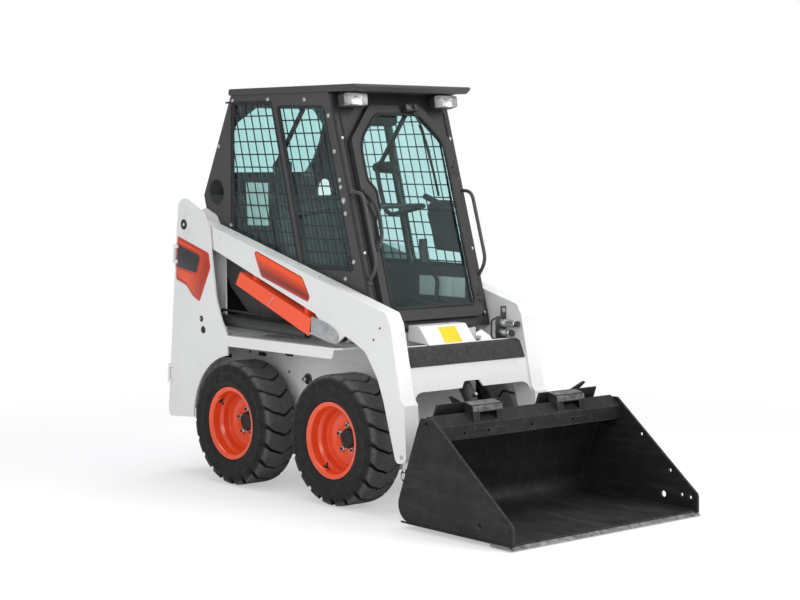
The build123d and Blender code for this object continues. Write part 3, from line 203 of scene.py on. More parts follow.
class Shape:
    """Surfaces of two parameters gathered into one mesh."""

    def __init__(self):
        self.points, self.faces, self.marks, self.lug_wear_and_groove_shades = [], [], [], []
        self.count = 0

    def grid(self, p, round_u=False, round_v=False, ends=False, mark=0, lug_wear_and_groove_shade=None):
        """A surface p[u, v]. round_u and round_v join its last row or column to its
        first; ends closes the first and last row with one flat face each."""
        p = np.asarray(p, float)
        nu, nv = p.shape[:2]
        index = np.arange(nu * nv).reshape(nu, nv) + self.count
        grown = index
        if round_u:
            grown = np.vstack([grown, grown[:1]])
        if round_v:
            grown = np.hstack([grown, grown[:, :1]])
        quads = np.stack([grown[:-1, :-1], grown[1:, :-1], grown[1:, 1:], grown[:-1, 1:]], -1)
        self.faces.append(quads.reshape(-1, 4))
        self.marks.append((len(quads.reshape(-1, 4)), mark))
        if ends:
            for row in (index[0], index[-1]):
                self.faces.append(row[None])
                self.marks.append((1, mark))
        self.points.append(p.reshape(-1, 3))
        self.lug_wear_and_groove_shades.append(np.zeros(nu * nv) if lug_wear_and_groove_shade is None else np.asarray(lug_wear_and_groove_shade, float).ravel())
        self.count += nu * nv
        return self

    def plate(self, plane, outline, low, high, bevel=1.0, mark=0):
        """A flat plate with rounded edges: rings of its outline, inset by
        b(1 - sin a) at depth b(1 - cos a), at both of its faces."""
        b = min(bevel, abs(high - low) / 2.01)
        a = np.array([0.0, math.pi / 4, math.pi / 2])
        sink, lift = b * (1 - np.sin(a)), b * (1 - np.cos(a))
        rings = [plane.at(inset(outline, s), np.full(len(outline), low + h)) for s, h in zip(sink, lift)]
        rings += [plane.at(inset(outline, s), np.full(len(outline), high - h))
                  for s, h in zip(sink[::-1], lift[::-1])]
        return self.grid(np.array(rings), round_v=True, ends=True, mark=mark)

    def turned(self, plane, profile, centre=(0.0, 0.0), count=32, mark=0, closed=False):
        """Surface of revolution about the plane's normal: a profile of (radius, out)
        carried round the centre."""
        a = np.arange(count) * TAU / count
        prof = np.asarray(profile, float)
        ring = np.stack([centre[0] + prof[:, :1] * np.cos(a), centre[1] + prof[:, :1] * np.sin(a)], -1)
        out = np.broadcast_to(prof[:, 1:2], ring.shape[:2])
        return self.grid(plane.at(ring, out), round_u=closed, round_v=True, ends=not closed, mark=mark)

    def hexes(self, plane, centres, flats, height, mark=0):
        """Six-sided heads with a chamfered top, each turned a little further."""
        r = flats / math.sqrt(3)
        corners = circle(r, 6)
        for i, c in enumerate(centres):
            turn = 0.7 * i + 0.3
            m = np.array([[math.cos(turn), -math.sin(turn)], [math.sin(turn), math.cos(turn)]])
            rings = []
            for scale, out in ((1.0, 0.0), (1.0, height * 0.82), (0.86, height)):
                rings.append(plane.at(corners @ m.T * scale + np.asarray(c), np.full(6, out)))
            self.grid(np.array(rings), round_v=True, ends=True, mark=mark)
        return self

    def tube(self, points, radius, bend=20.0, sides=14, mark=0, closed=False, steps=8):
        """A circle carried along a path with rounded corners, its frame turned as
        little as possible from point to point."""
        path = rounded(points, bend, steps, closed)
        keep = np.r_[True, np.linalg.norm(np.diff(path, axis=0), axis=1) > 1e-4]
        path = path[keep]
        tangent = np.gradient(path, axis=0)
        if closed:
            tangent = np.roll(path, -1, 0) - np.roll(path, 1, 0)
        tangent /= np.linalg.norm(tangent, axis=1)[:, None]
        helper = np.eye(3)[np.argmin(np.abs(tangent[0]))]
        normal = np.cross(tangent[0], helper)
        normals = []
        for t in tangent:
            normal = normal - t * (normal @ t)
            normal /= np.linalg.norm(normal)
            normals.append(normal)
        normals = np.array(normals)
        other = np.cross(tangent, normals)
        a = np.arange(sides) * TAU / sides
        r = np.broadcast_to(np.asarray(radius, float), (len(path),))[:, None, None]
        ring = normals[:, None] * np.cos(a)[None, :, None] + other[:, None] * np.sin(a)[None, :, None]
        return self.grid(path[:, None] + ring * r, round_u=closed, round_v=True, ends=not closed, mark=mark)

    def build(self, name, finishes, body, slot, replaces=(), sharp=32.0):
        """Puts the gathered surfaces into one mesh that rides on a body."""
        points = mm(np.vstack(self.points)).astype(np.float32)
        sizes = np.concatenate([np.full(len(f), f.shape[1]) for f in self.faces])
        loops = np.concatenate([f.ravel() for f in self.faces])
        mesh = bpy.data.meshes.new(name)
        mesh.vertices.add(len(points))
        mesh.vertices.foreach_set("co", points.ravel())
        mesh.loops.add(len(loops))
        mesh.loops.foreach_set("vertex_index", loops.astype(np.int32))
        mesh.polygons.add(len(sizes))
        starts = np.r_[0, np.cumsum(sizes)[:-1]]
        mesh.polygons.foreach_set("loop_start", starts.astype(np.int32))
        marks = np.concatenate([np.full(n, m) for n, m in self.marks])
        mesh.polygons.foreach_set("material_index", marks.astype(np.int32))
        mesh.update(calc_edges=True)
        lug_wear_and_groove_shades = np.concatenate(self.lug_wear_and_groove_shades)
        if lug_wear_and_groove_shades.any():
            mesh.attributes.new("lug_wear_and_groove_shade", "FLOAT", "POINT").data.foreach_set("value", lug_wear_and_groove_shades.astype(np.float32))
        return finished(name, mesh, finishes, body, replaces, sharp)


def finished(name, mesh, finishes, body, replaces=(), sharp=32.0, bevel=0.0):
    """Merges doubles, points faces outwards, smooths what is round and rides the piece."""
    work = bmesh.new()
    work.from_mesh(mesh)
    bmesh.ops.remove_doubles(work, verts=work.verts, dist=MERGE_REACH)
    bmesh.ops.recalc_face_normals(work, faces=work.faces)
    work.to_mesh(mesh)
    work.free()
    mesh.shade_smooth()
    mesh.set_sharp_from_angle(angle=math.radians(sharp))
    piece = bpy.data.objects.new(name, mesh)
    bpy.context.scene.collection.objects.link(piece)
    for finish in finishes if isinstance(finishes, (list, tuple)) else [finishes]:
        mesh.materials.append(bpy.data.materials[finish])
    if bevel:
        edge = piece.modifiers.new("eased edges", "BEVEL")
        edge.width = bevel * MM
        edge.segments = 2
        edge.limit_method = "ANGLE"
        edge.angle_limit = math.radians(35)
        edge.harden_normals = True
        edge.use_clamp_overlap = True
    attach(piece, body)
    if replaces:
        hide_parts(*([replaces] if isinstance(replaces, str) else replaces))
    return piece


def body_of(node):
    """Body that carries a node."""
    for name, nodes in frame["record"]["behaviour"]["bodies"].items():
        if node in nodes:
            return name
    raise RuntimeError("no body holds " + node)


def slot_of(node):
    """Material slot of a node."""
    for part in frame["record"]["subparts"]:
        if part["node"] == node:
            return part["material_slot"]
    raise RuntimeError("no slot for " + node)


# Finishes

class Finish:
    """A node material, with its pattern on Object coordinates."""

    def __init__(self, name, colour, rough=0.5, metal=0.0, **sockets):
        self.material = bpy.data.materials.new(name)
        self.material.use_nodes = True
        self.material.diffuse_color = (*colour, 1)
        self.nodes = self.material.node_tree.nodes
        self.links = self.material.node_tree.links
        self.shader = self.nodes["Principled BSDF"]
        self.set("Base Color", (*colour, 1))
        self.set("Roughness", rough)
        self.set("Metallic", metal)
        for key, value in sockets.items():
            self.set(key.replace("_", " "), value)
        self.place = self.nodes.new("ShaderNodeTexCoord").outputs["Object"]
        self.normal = None

    def set(self, socket, value):
        """A constant or a link on one of the shader's sockets."""
        target = self.shader.inputs[socket]
        if isinstance(value, bpy.types.NodeSocket):
            self.links.new(value, target)
        else:
            target.default_value = value

    def node(self, kind, inputs=(), **settings):
        """One node with its settings and inputs."""
        made = self.nodes.new(kind)
        for key, value in settings.items():
            setattr(made, key, value)
        for key, value in dict(inputs).items():
            if isinstance(value, bpy.types.NodeSocket):
                self.links.new(value, made.inputs[key])
            else:
                made.inputs[key].default_value = value
        return made

    def stretched(self, scale):
        """The place with each axis scaled."""
        return self.node("ShaderNodeMapping", {"Vector": self.place, "Scale": scale}).outputs[0]

    def noise(self, scale, detail=4.0, rough=0.55, stretch=None, low=0.3, high=0.7):
        """Noise spread over 0 to 1 between two levels."""
        place = self.stretched(stretch) if stretch else self.place
        raw = self.node("ShaderNodeTexNoise", {"Vector": place, "Scale": scale, "Detail": detail,
                                               "Roughness": rough}).outputs["Fac"]
        return self.spread(raw, low, high)

    def spread(self, value, low, high, a=0.0, b=1.0):
        """Value between low and high stretched to a..b."""
        return self.node("ShaderNodeMapRange", {"Value": value, "From Min": low, "From Max": high,
                                                "To Min": a, "To Max": b}).outputs[0]

    def times(self, a, b, kind="MULTIPLY"):
        """Arithmetic on two values."""
        return self.node("ShaderNodeMath", {0: a, 1: b}, operation=kind).outputs[0]

    def blend(self, fac, a, b):
        """Colour between a and b."""
        a = a if isinstance(a, bpy.types.NodeSocket) else (*a, 1)
        b = b if isinstance(b, bpy.types.NodeSocket) else (*b, 1)
        return self.node("ShaderNodeMix", {0: fac, 6: a, 7: b}, data_type="RGBA").outputs[2]

    def edges(self, reach=2.5, low=0.02, high=0.25):
        """How sharp the surface turns within a reach in millimetres: one minus the
        product of the true normal and the rounded one."""
        soft = self.node("ShaderNodeBevel", {"Radius": reach * MM}, samples=4).outputs[0]
        flat = self.node("ShaderNodeNewGeometry").outputs["Normal"]
        dot = self.node("ShaderNodeVectorMath", {0: soft, 1: flat}, operation="DOT_PRODUCT").outputs["Value"]
        return self.spread(self.times(1.0, dot, "SUBTRACT"), low, high)

    def height(self, fac):
        """One at the ground and fading to nothing above: 1 - z / fac, for dust."""
        z = self.node("ShaderNodeSeparateXYZ", {0: self.place}).outputs["Z"]
        return self.spread(z, 0.0, fac, 1.0, 0.0)

    def bump(self, value, strength, distance=0.001):
        """A bump on top of what is there."""
        inputs = {"Height": value, "Strength": strength, "Distance": distance}
        if self.normal is not None:
            inputs["Normal"] = self.normal
        self.normal = self.node("ShaderNodeBump", inputs).outputs[0]
        self.set("Normal", self.normal)


def paint(name, colour, rough, coat, peel, dust):
    """Sprayed paint: slow colour drift, orange peel and dust near the ground."""
    f = Finish(name, colour, rough, Coat_Weight=coat, Coat_Roughness=0.12)
    drift = f.noise(2.2, 3.0)
    darker = tuple(c * 0.93 for c in colour)
    tint = f.blend(drift, colour, darker)
    low = f.times(f.height(0.55), f.noise(9.0, 6.0, 0.65, low=0.35, high=0.75))
    tint = f.blend(f.times(low, dust), tint, DUST_COLOUR)
    f.set("Base Color", tint)
    f.set("Roughness", f.spread(f.noise(14.0, 5.0), 0, 1, rough * 0.85, min(rough * 1.3, 1)))
    f.bump(f.noise(420.0, 2.0), peel, 0.0004)
    return f


def make_finishes(colours):
    """Every material of the machine."""
    body = tuple(colours.body_white)
    trim = tuple(colours.cab_charcoal)
    accent = tuple(colours.accent_orange)
    paint("body white", body, 0.3, 0.35, 0.03, dust=0.1)
    paint("wheel orange", accent, 0.28, 0.4, 0.03, dust=0.12)
    # The strut gets the rims' orange made lighter: painted light on the same paint.
    paint("strut orange", tuple(min(1.0, 1.16 * c + 0.016) for c in accent), 0.33, 0.3, 0.04, dust=0.0)
    paint("frame black", (0.022, 0.022, 0.024), 0.45, 0.1, 0.08, dust=0.3)
    # The front frame and door frame get the cab's own charcoal at 0.42 of its brightness: painted shade, the
    # same paint shown darker.
    for name, share in (("cab charcoal", 1.0), ("post charcoal", 0.42)):
        f = paint(name, tuple(share * c for c in trim), 0.5, 0.0, 0.3, dust=0.05)
        f.set("Roughness", f.spread(f.noise(14.0, 5.0), 0, 1, 0.52, 0.58))
        f.bump(f.noise(900.0, 1.0), 0.22, 0.0003)

    f = Finish("bucket black", (0.022, 0.022, 0.024), 0.42, Specular_IOR_Level=0.22)
    scuff = f.noise(26.0, 8.0, 0.7, (1.0, 0.12, 1.0), 0.5, 0.72)
    cloud = f.noise(4.0, 5.0, 0.6, low=0.35, high=0.75)
    tint = f.blend(cloud, (0.011, 0.011, 0.012), (0.022, 0.022, 0.023))
    tint = f.blend(f.times(scuff, 0.45), tint, (0.055, 0.055, 0.056))
    worn = f.times(f.edges(3.0), f.noise(60.0, 4.0, low=0.3, high=0.55))
    tint = f.blend(f.times(worn, 0.7), tint, (0.24, 0.24, 0.24))
    f.set("Base Color", tint)
    f.set("Roughness", f.spread(f.noise(17.0, 6.0), 0, 1, 0.42, 0.66))
    f.bump(f.noise(300.0, 3.0), 0.12, 0.0004)
    f.bump(scuff, 0.1, 0.0004)

    f = Finish("edge steel", (0.2, 0.2, 0.205), 0.42, 0.6)
    lines = f.noise(60.0, 6.0, 0.7, (1.0, 0.06, 1.0), 0.35, 0.7)
    patch = f.noise(9.0, 6.0, 0.7, low=0.5, high=0.72)
    ground = f.blend(lines, (0.15, 0.15, 0.155), (0.42, 0.42, 0.43))
    f.set("Base Color", f.blend(patch, ground, (0.07, 0.07, 0.072)))
    f.set("Roughness", f.spread(lines, 0, 1, 0.3, 0.6))
    f.bump(lines, 0.2, 0.0005)

    f = Finish("tyre rubber", (0.018, 0.018, 0.019), 0.62, Specular_IOR_Level=0.36)
    lug_wear_and_groove_shade = f.node("ShaderNodeAttribute", attribute_name="lug_wear_and_groove_shade").outputs["Fac"]
    speck = f.noise(70.0, 6.0, 0.7, low=0.4, high=0.7)
    # Where the mask is nothing, on the sidewall and the groove floors, the rubber is darkest; on the groove
    # floors this is painted shade. Where it is one, on the lug tops, the rubber is lighter and worn.
    tint = f.blend(lug_wear_and_groove_shade, (0.0062, 0.0062, 0.0064), (0.066, 0.064, 0.063))
    tint = f.blend(f.times(f.times(speck, lug_wear_and_groove_shade), 0.5), tint, (0.15, 0.147, 0.14))
    f.set("Base Color", tint)
    f.set("Roughness", f.spread(f.noise(30.0, 4.0), 0, 1, 0.5, 0.78))
    f.bump(f.noise(380.0, 4.0), 0.25, 0.0005)

    f = Finish("pad rubber", (0.016, 0.016, 0.017), 0.7)
    f.set("Base Color", f.blend(f.noise(50.0, 6.0), (0.012, 0.012, 0.013), (0.032, 0.032, 0.033)))
    f.bump(f.noise(900.0, 2.0), 0.5, 0.0006)

    f = Finish("grip rubber", (0.014, 0.014, 0.015), 0.6)
    f.bump(f.noise(700.0, 2.0), 0.3, 0.0004)
    f.set("Roughness", f.spread(f.noise(40.0), 0, 1, 0.5, 0.75))

    f = Finish("rod chrome", (0.62, 0.62, 0.63), 0.12, 1.0)
    f.set("Roughness", f.spread(f.noise(160.0, 3.0, 0.6, (1.0, 0.08, 1.0)), 0, 1, 0.06, 0.16))

    f = Finish("zinc", (0.55, 0.55, 0.53), 0.3, 1.0)
    f.set("Base Color", f.blend(f.noise(90.0, 4.0), (0.50, 0.50, 0.47), (0.66, 0.66, 0.64)))
    f.set("Roughness", f.spread(f.noise(120.0, 4.0), 0, 1, 0.22, 0.42))

    f = Finish("galvanised", (0.4, 0.405, 0.41), 0.45, 0.4)
    f.set("Base Color", f.blend(f.noise(24.0, 4.0), (0.33, 0.335, 0.34), (0.5, 0.505, 0.51)))

    f = Finish("dark fastener", (0.03, 0.03, 0.03), 0.38, 0.6)
    f.set("Roughness", f.spread(f.noise(90.0), 0, 1, 0.3, 0.5))

    f = Finish("worn plate", (0.17, 0.17, 0.172), 0.5, 0.35)
    patch = f.noise(40.0, 8.0, 0.8, low=0.36, high=0.74)
    f.set("Base Color", f.blend(patch, (0.04, 0.04, 0.042), (0.26, 0.26, 0.265)))
    f.set("Roughness", f.spread(patch, 0, 1, 0.6, 0.38))
    f.bump(patch, 0.25, 0.0005)

    tint = tuple(colours.glass_tint)
    for name, colour in (("tinted glass", tint), ("clear glass", tuple(c ** 0.7 for c in tint))):
        f = Finish(name, colour, 0.0, Transmission_Weight=1.0, IOR=1.35)
        f.set("Roughness", f.spread(f.noise(6.0, 3.0), 0, 1, 0.0, 0.03))

    f = Finish("lamp lens", (0.78, 0.78, 0.79), 0.06, Transmission_Weight=0.8, IOR=1.4)
    f.bump(f.node("ShaderNodeTexWave", {"Vector": f.place, "Scale": 90.0}).outputs["Fac"], 0.3, 0.0008)

    f = Finish("lamp mirror", (0.6, 0.6, 0.61), 0.16, 1.0)
    f.set("Roughness", f.spread(f.noise(40.0), 0, 1, 0.12, 0.24))

    f = Finish("red lens", (0.55, 0.012, 0.01), 0.12, Coat_Weight=0.6)
    cells = f.node("ShaderNodeTexVoronoi", {"Vector": f.place, "Scale": 170.0}).outputs["Distance"]
    f.set("Base Color", f.blend(f.spread(cells, 0, 0.8), (0.75, 0.03, 0.02), (0.32, 0.006, 0.006)))
    f.bump(cells, 0.4, 0.001)

    f = Finish("seat vinyl", (0.022, 0.022, 0.024), 0.52)
    grain = f.node("ShaderNodeTexVoronoi", {"Vector": f.place, "Scale": 520.0},
                   feature="DISTANCE_TO_EDGE").outputs["Distance"]
    f.set("Base Color", f.blend(f.noise(8.0), (0.018, 0.018, 0.02), (0.03, 0.03, 0.033)))
    f.bump(f.spread(grain, 0.0, 0.12), 0.35, 0.0004)

    for name, colour in (("label yellow", (0.93, 0.62, 0.012)), ("label red", (0.55, 0.035, 0.012)),
                         ("label dark", (0.03, 0.03, 0.033)), ("label pale", (0.62, 0.66, 0.64))):
        f = Finish(name, colour, 0.3, Coat_Weight=0.3)
        f.set("Base Color", f.blend(f.noise(30.0, 3.0), colour, tuple(c * 0.9 for c in colour)))
        f.bump(f.noise(200.0), 0.04, 0.0003)

    for name, axes, low, high in (("arm patch", (0, -0.3, 1.0), 0.842, 0.892),
                                  ("tail patch", (0, 1.0, 0.3), 1.16, 1.34)):
        f = Finish(name, (0.83, 0.075, 0.012), 0.3, Coat_Weight=0.3)
        run = f.node("ShaderNodeVectorMath", {0: f.place, 1: axes}, operation="DOT_PRODUCT").outputs["Value"]
        f.set("Base Color", f.blend(f.spread(run, low, high), (0.25, 0.018, 0.01), (0.86, 0.085, 0.015)))
        f.bump(f.noise(200.0), 0.04, 0.0003)

    f = Finish("engine grey", (0.1, 0.1, 0.1), 0.6, 0.4)
    f.set("Base Color", f.blend(f.noise(12.0, 6.0), (0.06, 0.06, 0.06), (0.16, 0.155, 0.15)))
    f.bump(f.noise(60.0, 6.0), 0.4, 0.001)

    f = Finish("cab plastic", (0.03, 0.03, 0.032), 0.55)
    f.set("Base Color", f.blend(f.noise(10.0), (0.024, 0.024, 0.026), (0.04, 0.04, 0.042)))
    f.bump(f.noise(650.0, 3.0), 0.4, 0.0004)


NODE_FINISHES = {
    "white_paint": "body white", "black_paint": "frame black", "bucket_black": "bucket black",
    "orange_paint": "wheel orange", "tyre_rubber": "tyre rubber", "worn_steel": "edge steel",
    "rod_chrome": "rod chrome", "tinted_glass": "tinted glass", "pad_rubber": "pad rubber",
    "seat_vinyl": "seat vinyl", "lamp_lens": "lamp lens", "red_lens": "red lens",
    "engine_grey": "engine grey", "cab_plastic": "cab plastic",
}
OWN_FINISHES = {
    "arm_strut": "strut orange", "hose_couplings": "cab charcoal", "cab_side_left": "cab charcoal",
    "cab_side_right": "cab charcoal", "cab_roof": "cab charcoal", "cab_rear_wall": "cab charcoal",
    "cab_front_frame": "post charcoal", "door_frame": "post charcoal", "door_glass": "clear glass",
    "cab_floor": "cab plastic",
    "rear_grille": "cab charcoal",
}
EASED_NODES = {
    "side_frame_left": 1.6, "side_frame_right": 1.6, "lift_arms": 2.6, "tailgate": 2.0, "tilt_cover": 1.2,
    "main_frame": 2.0, "cab_side_left": 1.5, "cab_side_right": 1.5, "cab_roof": 2.5, "cab_rear_wall": 1.5,
    "cab_front_frame": 2.0, "door_frame": 3.0, "bucket": 1.2, "coupler": 1.2, "cutting_edge": 1.0,
    "step_pad": 2.0, "arm_strut": 1.2, "hose_couplings": 1.0, "rear_grille": 1.0, "cab_floor": 1.0,
    "engine_block": 4.0, "controls": 3.0, "coupler_levers": 1.0, "seat_bar_pivots": 1.0,
}


def ease_node(node, width):
    """A merged copy of a solid with flat faces joined and edges eased."""
    source = frame["nodes"][node]
    mesh = source.data.copy()
    mesh.name = node + "_eased"
    work = bmesh.new()
    work.from_mesh(mesh)
    bmesh.ops.remove_doubles(work, verts=work.verts, dist=MERGE_REACH)
    bmesh.ops.dissolve_limit(work, angle_limit=math.radians(0.6), verts=work.verts, edges=work.edges)
    work.to_mesh(mesh)
    work.free()
    mesh.materials.clear()
    finish = OWN_FINISHES.get(node, NODE_FINISHES[slot_of(node)])
    return finished(node + "_eased", mesh, finish, body_of(node), node, 32.0, width)


# Tyres

def tyre_profile():
    """Half section of the carcass as (x, radius, lug height), from bead to bead."""
    half = [(13, 171, 0), (7, 180, 0), (3.5, 186, 0), (1.2, 192, 0), (1.4, 197, 0), (3.6, 200, 0),
            (3.0, 206, 0), (3.2, 216, 0), (3.6, 226, 0), (2.4, 233, 0), (0.0, 238, 0), (1.2, 243, 0.5),
            (5.6, 247, 3.2), (7.4, 251, 5.0), (10.5, 255.5, 7.5), (14.5, 259.5, 11), (20, 263, 15),
            (27, 265.5, 17.6), (38, 267, 18), (52, 267.7, 17.3), (66, 268, 17), (80, 268.2, 16.8),
            (92, 268.3, 16.7)]
    left = np.array(half, float)
    right = left[::-1].copy()
    right[:, 0] = TYRE_WIDTH - right[:, 0]
    middle = np.array([[TYRE_WIDTH / 2, 268.3, 16.7]])
    return np.vstack([left, middle, right])


def make_tyre(name, side, y, body, node, sizes):
    """Lugged tyre. A point is at angle f.P + s(x) and radius r(x) + h(x).m(f, x): P is
    one lug's share of the round, s bends the lugs to a chevron, and the mask m is one
    on a lug, from its steep front to its steep back. The groove between two lugs
    narrows towards the middle."""
    prof = tyre_profile()
    fine = np.interp(np.linspace(0, len(prof) - 1, 107), np.arange(len(prof)), np.arange(len(prof)))
    x, r, h = (np.interp(fine, np.arange(len(prof)), prof[:, k]) for k in range(3))
    t = 2 * x / TYRE_WIDTH - 1
    lugs = sizes.lug_count
    share = TAU / lugs
    top = LUG_FRONT + LUG_EDGE
    back = top + sizes.lug_share
    foot = back + LUG_EDGE
    knots = np.r_[0.0, LUG_FRONT, np.linspace(top, back, 8), foot, (foot + 1) / 2]
    f = (np.arange(lugs)[:, None] + knots).ravel()
    bend = np.where(np.abs(t) < 1, 0.62 * np.abs(t) ** 1.25, 0.62) * share
    bend = bend + 0.035 * share * np.sin(9 * t)

    def ramp(a, b, v):
        s = np.clip((v - a) / (b - a), 0, 1)
        return s * s * (3 - 2 * s)

    k = np.mod(f, 1.0)
    m = np.clip((k - LUG_FRONT) / LUG_EDGE, 0, 1) * np.clip((foot - k) / LUG_EDGE, 0, 1)
    m = np.broadcast_to(m[:, None], (len(f), len(x)))
    ahead = 1 + LUG_FRONT
    gap = (foot + ahead) / 2
    rim = (gap - 1) / (ahead - gap)
    pull = np.interp(k, [0.0, LUG_FRONT, top, 0.45, back, foot, gap, 1.0],
                     [rim, -1, -1, 0, 1, 1, 0, rim])
    narrow = 0.34 * (ahead - foot) * ramp(0.97, 0.45, np.abs(t))
    angle = (f[:, None] + pull[:, None] * narrow[None]) * share + bend[None]
    radius = r[None] + h[None] * m
    xx = np.broadcast_to(x[None], radius.shape)
    tuck = (1 - m) * 2.2 * ramp(0.8, 0.97, np.abs(t))[None] * (h > 1)[None]
    xx = xx - tuck * np.sign(t)[None]
    a = angle + (0.0 if side > 0 else RIGHT_TURN)
    p = np.stack([side * (TYRE_IN + xx), y + radius * np.cos(a) * side, AXLE_Z + radius * np.sin(a)], -1)
    # Colour mask: one on the worn lug tops, nothing on the sidewall and groove floors, whose darkest rubber
    # in the grooves is painted shade.
    lug_wear_and_groove_shade = m * np.clip((h - 8) / 6, 0, 1)[None]
    shape = Shape().grid(p, round_u=True, lug_wear_and_groove_shade=lug_wear_and_groove_shade)
    b = np.array([prof[0, :2], (21, 168), (22, 151), (181, 151), (181, 168), prof[-1, :2]])
    ring = a[:, :1]
    q = np.stack([np.broadcast_to(side * (TYRE_IN + b[:, 0])[None], (len(f), len(b))),
                  y + b[:, 1][None] * np.cos(ring) * side, AXLE_Z + b[:, 1][None] * np.sin(ring)], -1)
    shape.grid(q, round_u=True)
    return shape.build(name, "tyre rubber", body, "tyre_rubber", node, 28.0)


# Wheels

def make_rim(name, side, y, body, node):
    """Turned rim: flanges, dropped well and a dished disc with a raised centre."""
    plane = side_plane(side, 0)
    centre = (y, AXLE_Z)
    outer = [(167, 457), (167, 452), (164, 450.5), (151.5, 450), (149.6, 447), (149.6, 411), (147, 404),
             (139, 397), (139, 345), (147, 337), (149.6, 331), (149.6, 284), (164, 283.5), (167, 281),
             (167, 279.5), (163, 279)]
    inner = [(145, 279), (144.6, 329), (134, 343), (133.5, 346), (124, 346), (45.4, 346), (45.4, 354),
             (70, 354), (88, 354.6), (96, 358), (104, 362), (116, 363), (126, 362), (131, 364), (133.8, 369),
             (134, 397), (137, 402), (144.4, 411), (145.2, 416), (145.2, 446), (148, 451), (154, 454.5),
             (163, 457)]
    shape = Shape().turned(plane, outer + inner, centre, 96, closed=True)
    return shape.build(name, "wheel orange", body, "orange_paint", node, 28.0)


def make_hub(name, side, y, body, node):
    """Shaft, flange, pilot cap and studs with chamfered nuts."""
    plane = side_plane(side, 0)
    c = (y, AXLE_Z)
    shape = Shape()
    shape.turned(plane, [(26, 160), (26, 331), (74, 332), (76, 334), (76, 345), (75, 345.8), (43.6, 345.8),
                         (43.6, 360), (42, 366), (36, 371), (14, 372.5), (13, 371), (10, 370.6)], c, 64)
    turns = np.radians(90 + 72 * np.arange(5))
    nuts = [(y + STUD_CIRCLE * math.cos(a), AXLE_Z + STUD_CIRCLE * math.sin(a)) for a in turns]
    bolts = Shape()
    seat = side_plane(side, 354.4)
    for n in nuts:
        bolts.turned(seat, [(14.5, 0), (14.5, 1.6), (13.0, 3.2)], n, 24)
        bolts.turned(seat, [(6.5, 3), (6.5, 17.2), (5.2, 18.6)], n, 16, mark=1)
    bolts.hexes(side_plane(side, 357.0), nuts, 22.0, 11.0)
    hub = shape.build(name, "grip rubber", body, "black_paint", node, 28.0)
    bolts.build(name.replace("hub", "nuts"), ["zinc", "dark fastener"], body, "black_paint", (), 28.0)
    return hub


def make_valve(name, side, y, body, turn):
    """Valve stem in its guard on the rim's well, turned round the axle."""
    out = np.array([0, math.cos(math.radians(turn)), math.sin(math.radians(turn))])
    across = np.array([1.0, 0, 0])
    plane = Plane(np.array([side * 431, y, AXLE_Z]) + out * 145.3, across, np.cross(-out, across))
    shape = Shape()
    shape.turned(plane, [(19, -2), (19, 5), (17.6, 7), (15.4, 7), (14, 5), (14, -2)], (0, 0), 28, mark=1)
    stem = [(14, 0.6), (9, 0.8), (7, 6), (5, 8), (5, 20), (4, 22), (4, 29), (2.5, 30)]
    shape.turned(plane, stem, (0, 0), 20)
    return shape.build(name, ["grip rubber", "wheel orange"], body, "tyre_rubber", (), 30.0)


# Cab

CAB_X = 334.0
ROOF_UNDER = 1783.7
DOOR_OUT = 26.5
SCREEN_PITCH = 58.0
REAR_PANE = [(865, 1745), (563, 1745), (367, 1015), (872, 1015)]
FRONT_PANE = [(524, 1729), (195, 1722), (-6, 1011), (331, 1015)]
DOOR_PANE = [(-246, 842), (246, 842), (246, 1562), (128, 1682), (-128, 1682), (-246, 1562), (-246, 1393),
             (-206, 1353), (-206, 1263), (-246, 1223)]
DOOR_PANE_CORNERS = [30, 30, 60, 30, 30, 60, 16, 24, 24, 16]
DOOR_EDGE = [(-289, 793), (289, 793), (289, 1569), (151, 1719), (-151, 1719), (-289, 1569)]


def on_front(points, out):
    """Points given as X and height, on the cab's leaning front."""
    p = np.array(points, float)
    p[:, 1] = slant(p[:, 1])
    return front_plane().at(p, np.full(len(p), out))


def buttons(shape, plane, centres, radius=8.0, height=6.0, mark=0):
    """Domed bolt heads on washers."""
    r, h = radius, height
    for c in centres:
        shape.turned(plane, [(r * 1.25, -0.4), (r * 1.25, 1.2), (r * 1.1, 1.8), (r, 2.0), (r * 0.95, h * 0.6),
                             (r * 0.72, h * 0.9), (r * 0.34, h), (r * 0.3, h * 0.7)], c, 20, mark)
    return shape


def make_cab_bolts():
    """Bright bolt heads round the cab's sides and front."""
    shape = Shape()
    places = [(854, 1760), (590, 1760), (326, 1754), (160, 1681), (119, 1525), (83, 1401), (77, 1371),
              (45, 1257), (-10, 1050), (46, 974), (964, 1552), (872, 1186), (221, 980)]
    for side in (1, -1):
        buttons(shape, side_plane(side, CAB_X), places)
        buttons(shape, side_plane(side, CAB_X), [(58, 1313)], 11.0, 8.0)
        buttons(shape, front_plane(), [(side * 318, slant(1584)), (side * 318, slant(1090))], 7.0)
    buttons(shape, front_plane(), [(310, slant(1401)), (314, slant(806))], 7.0)
    return shape.build("cab_bolts", "zinc", "chassis", "rod_chrome", (), 30.0)


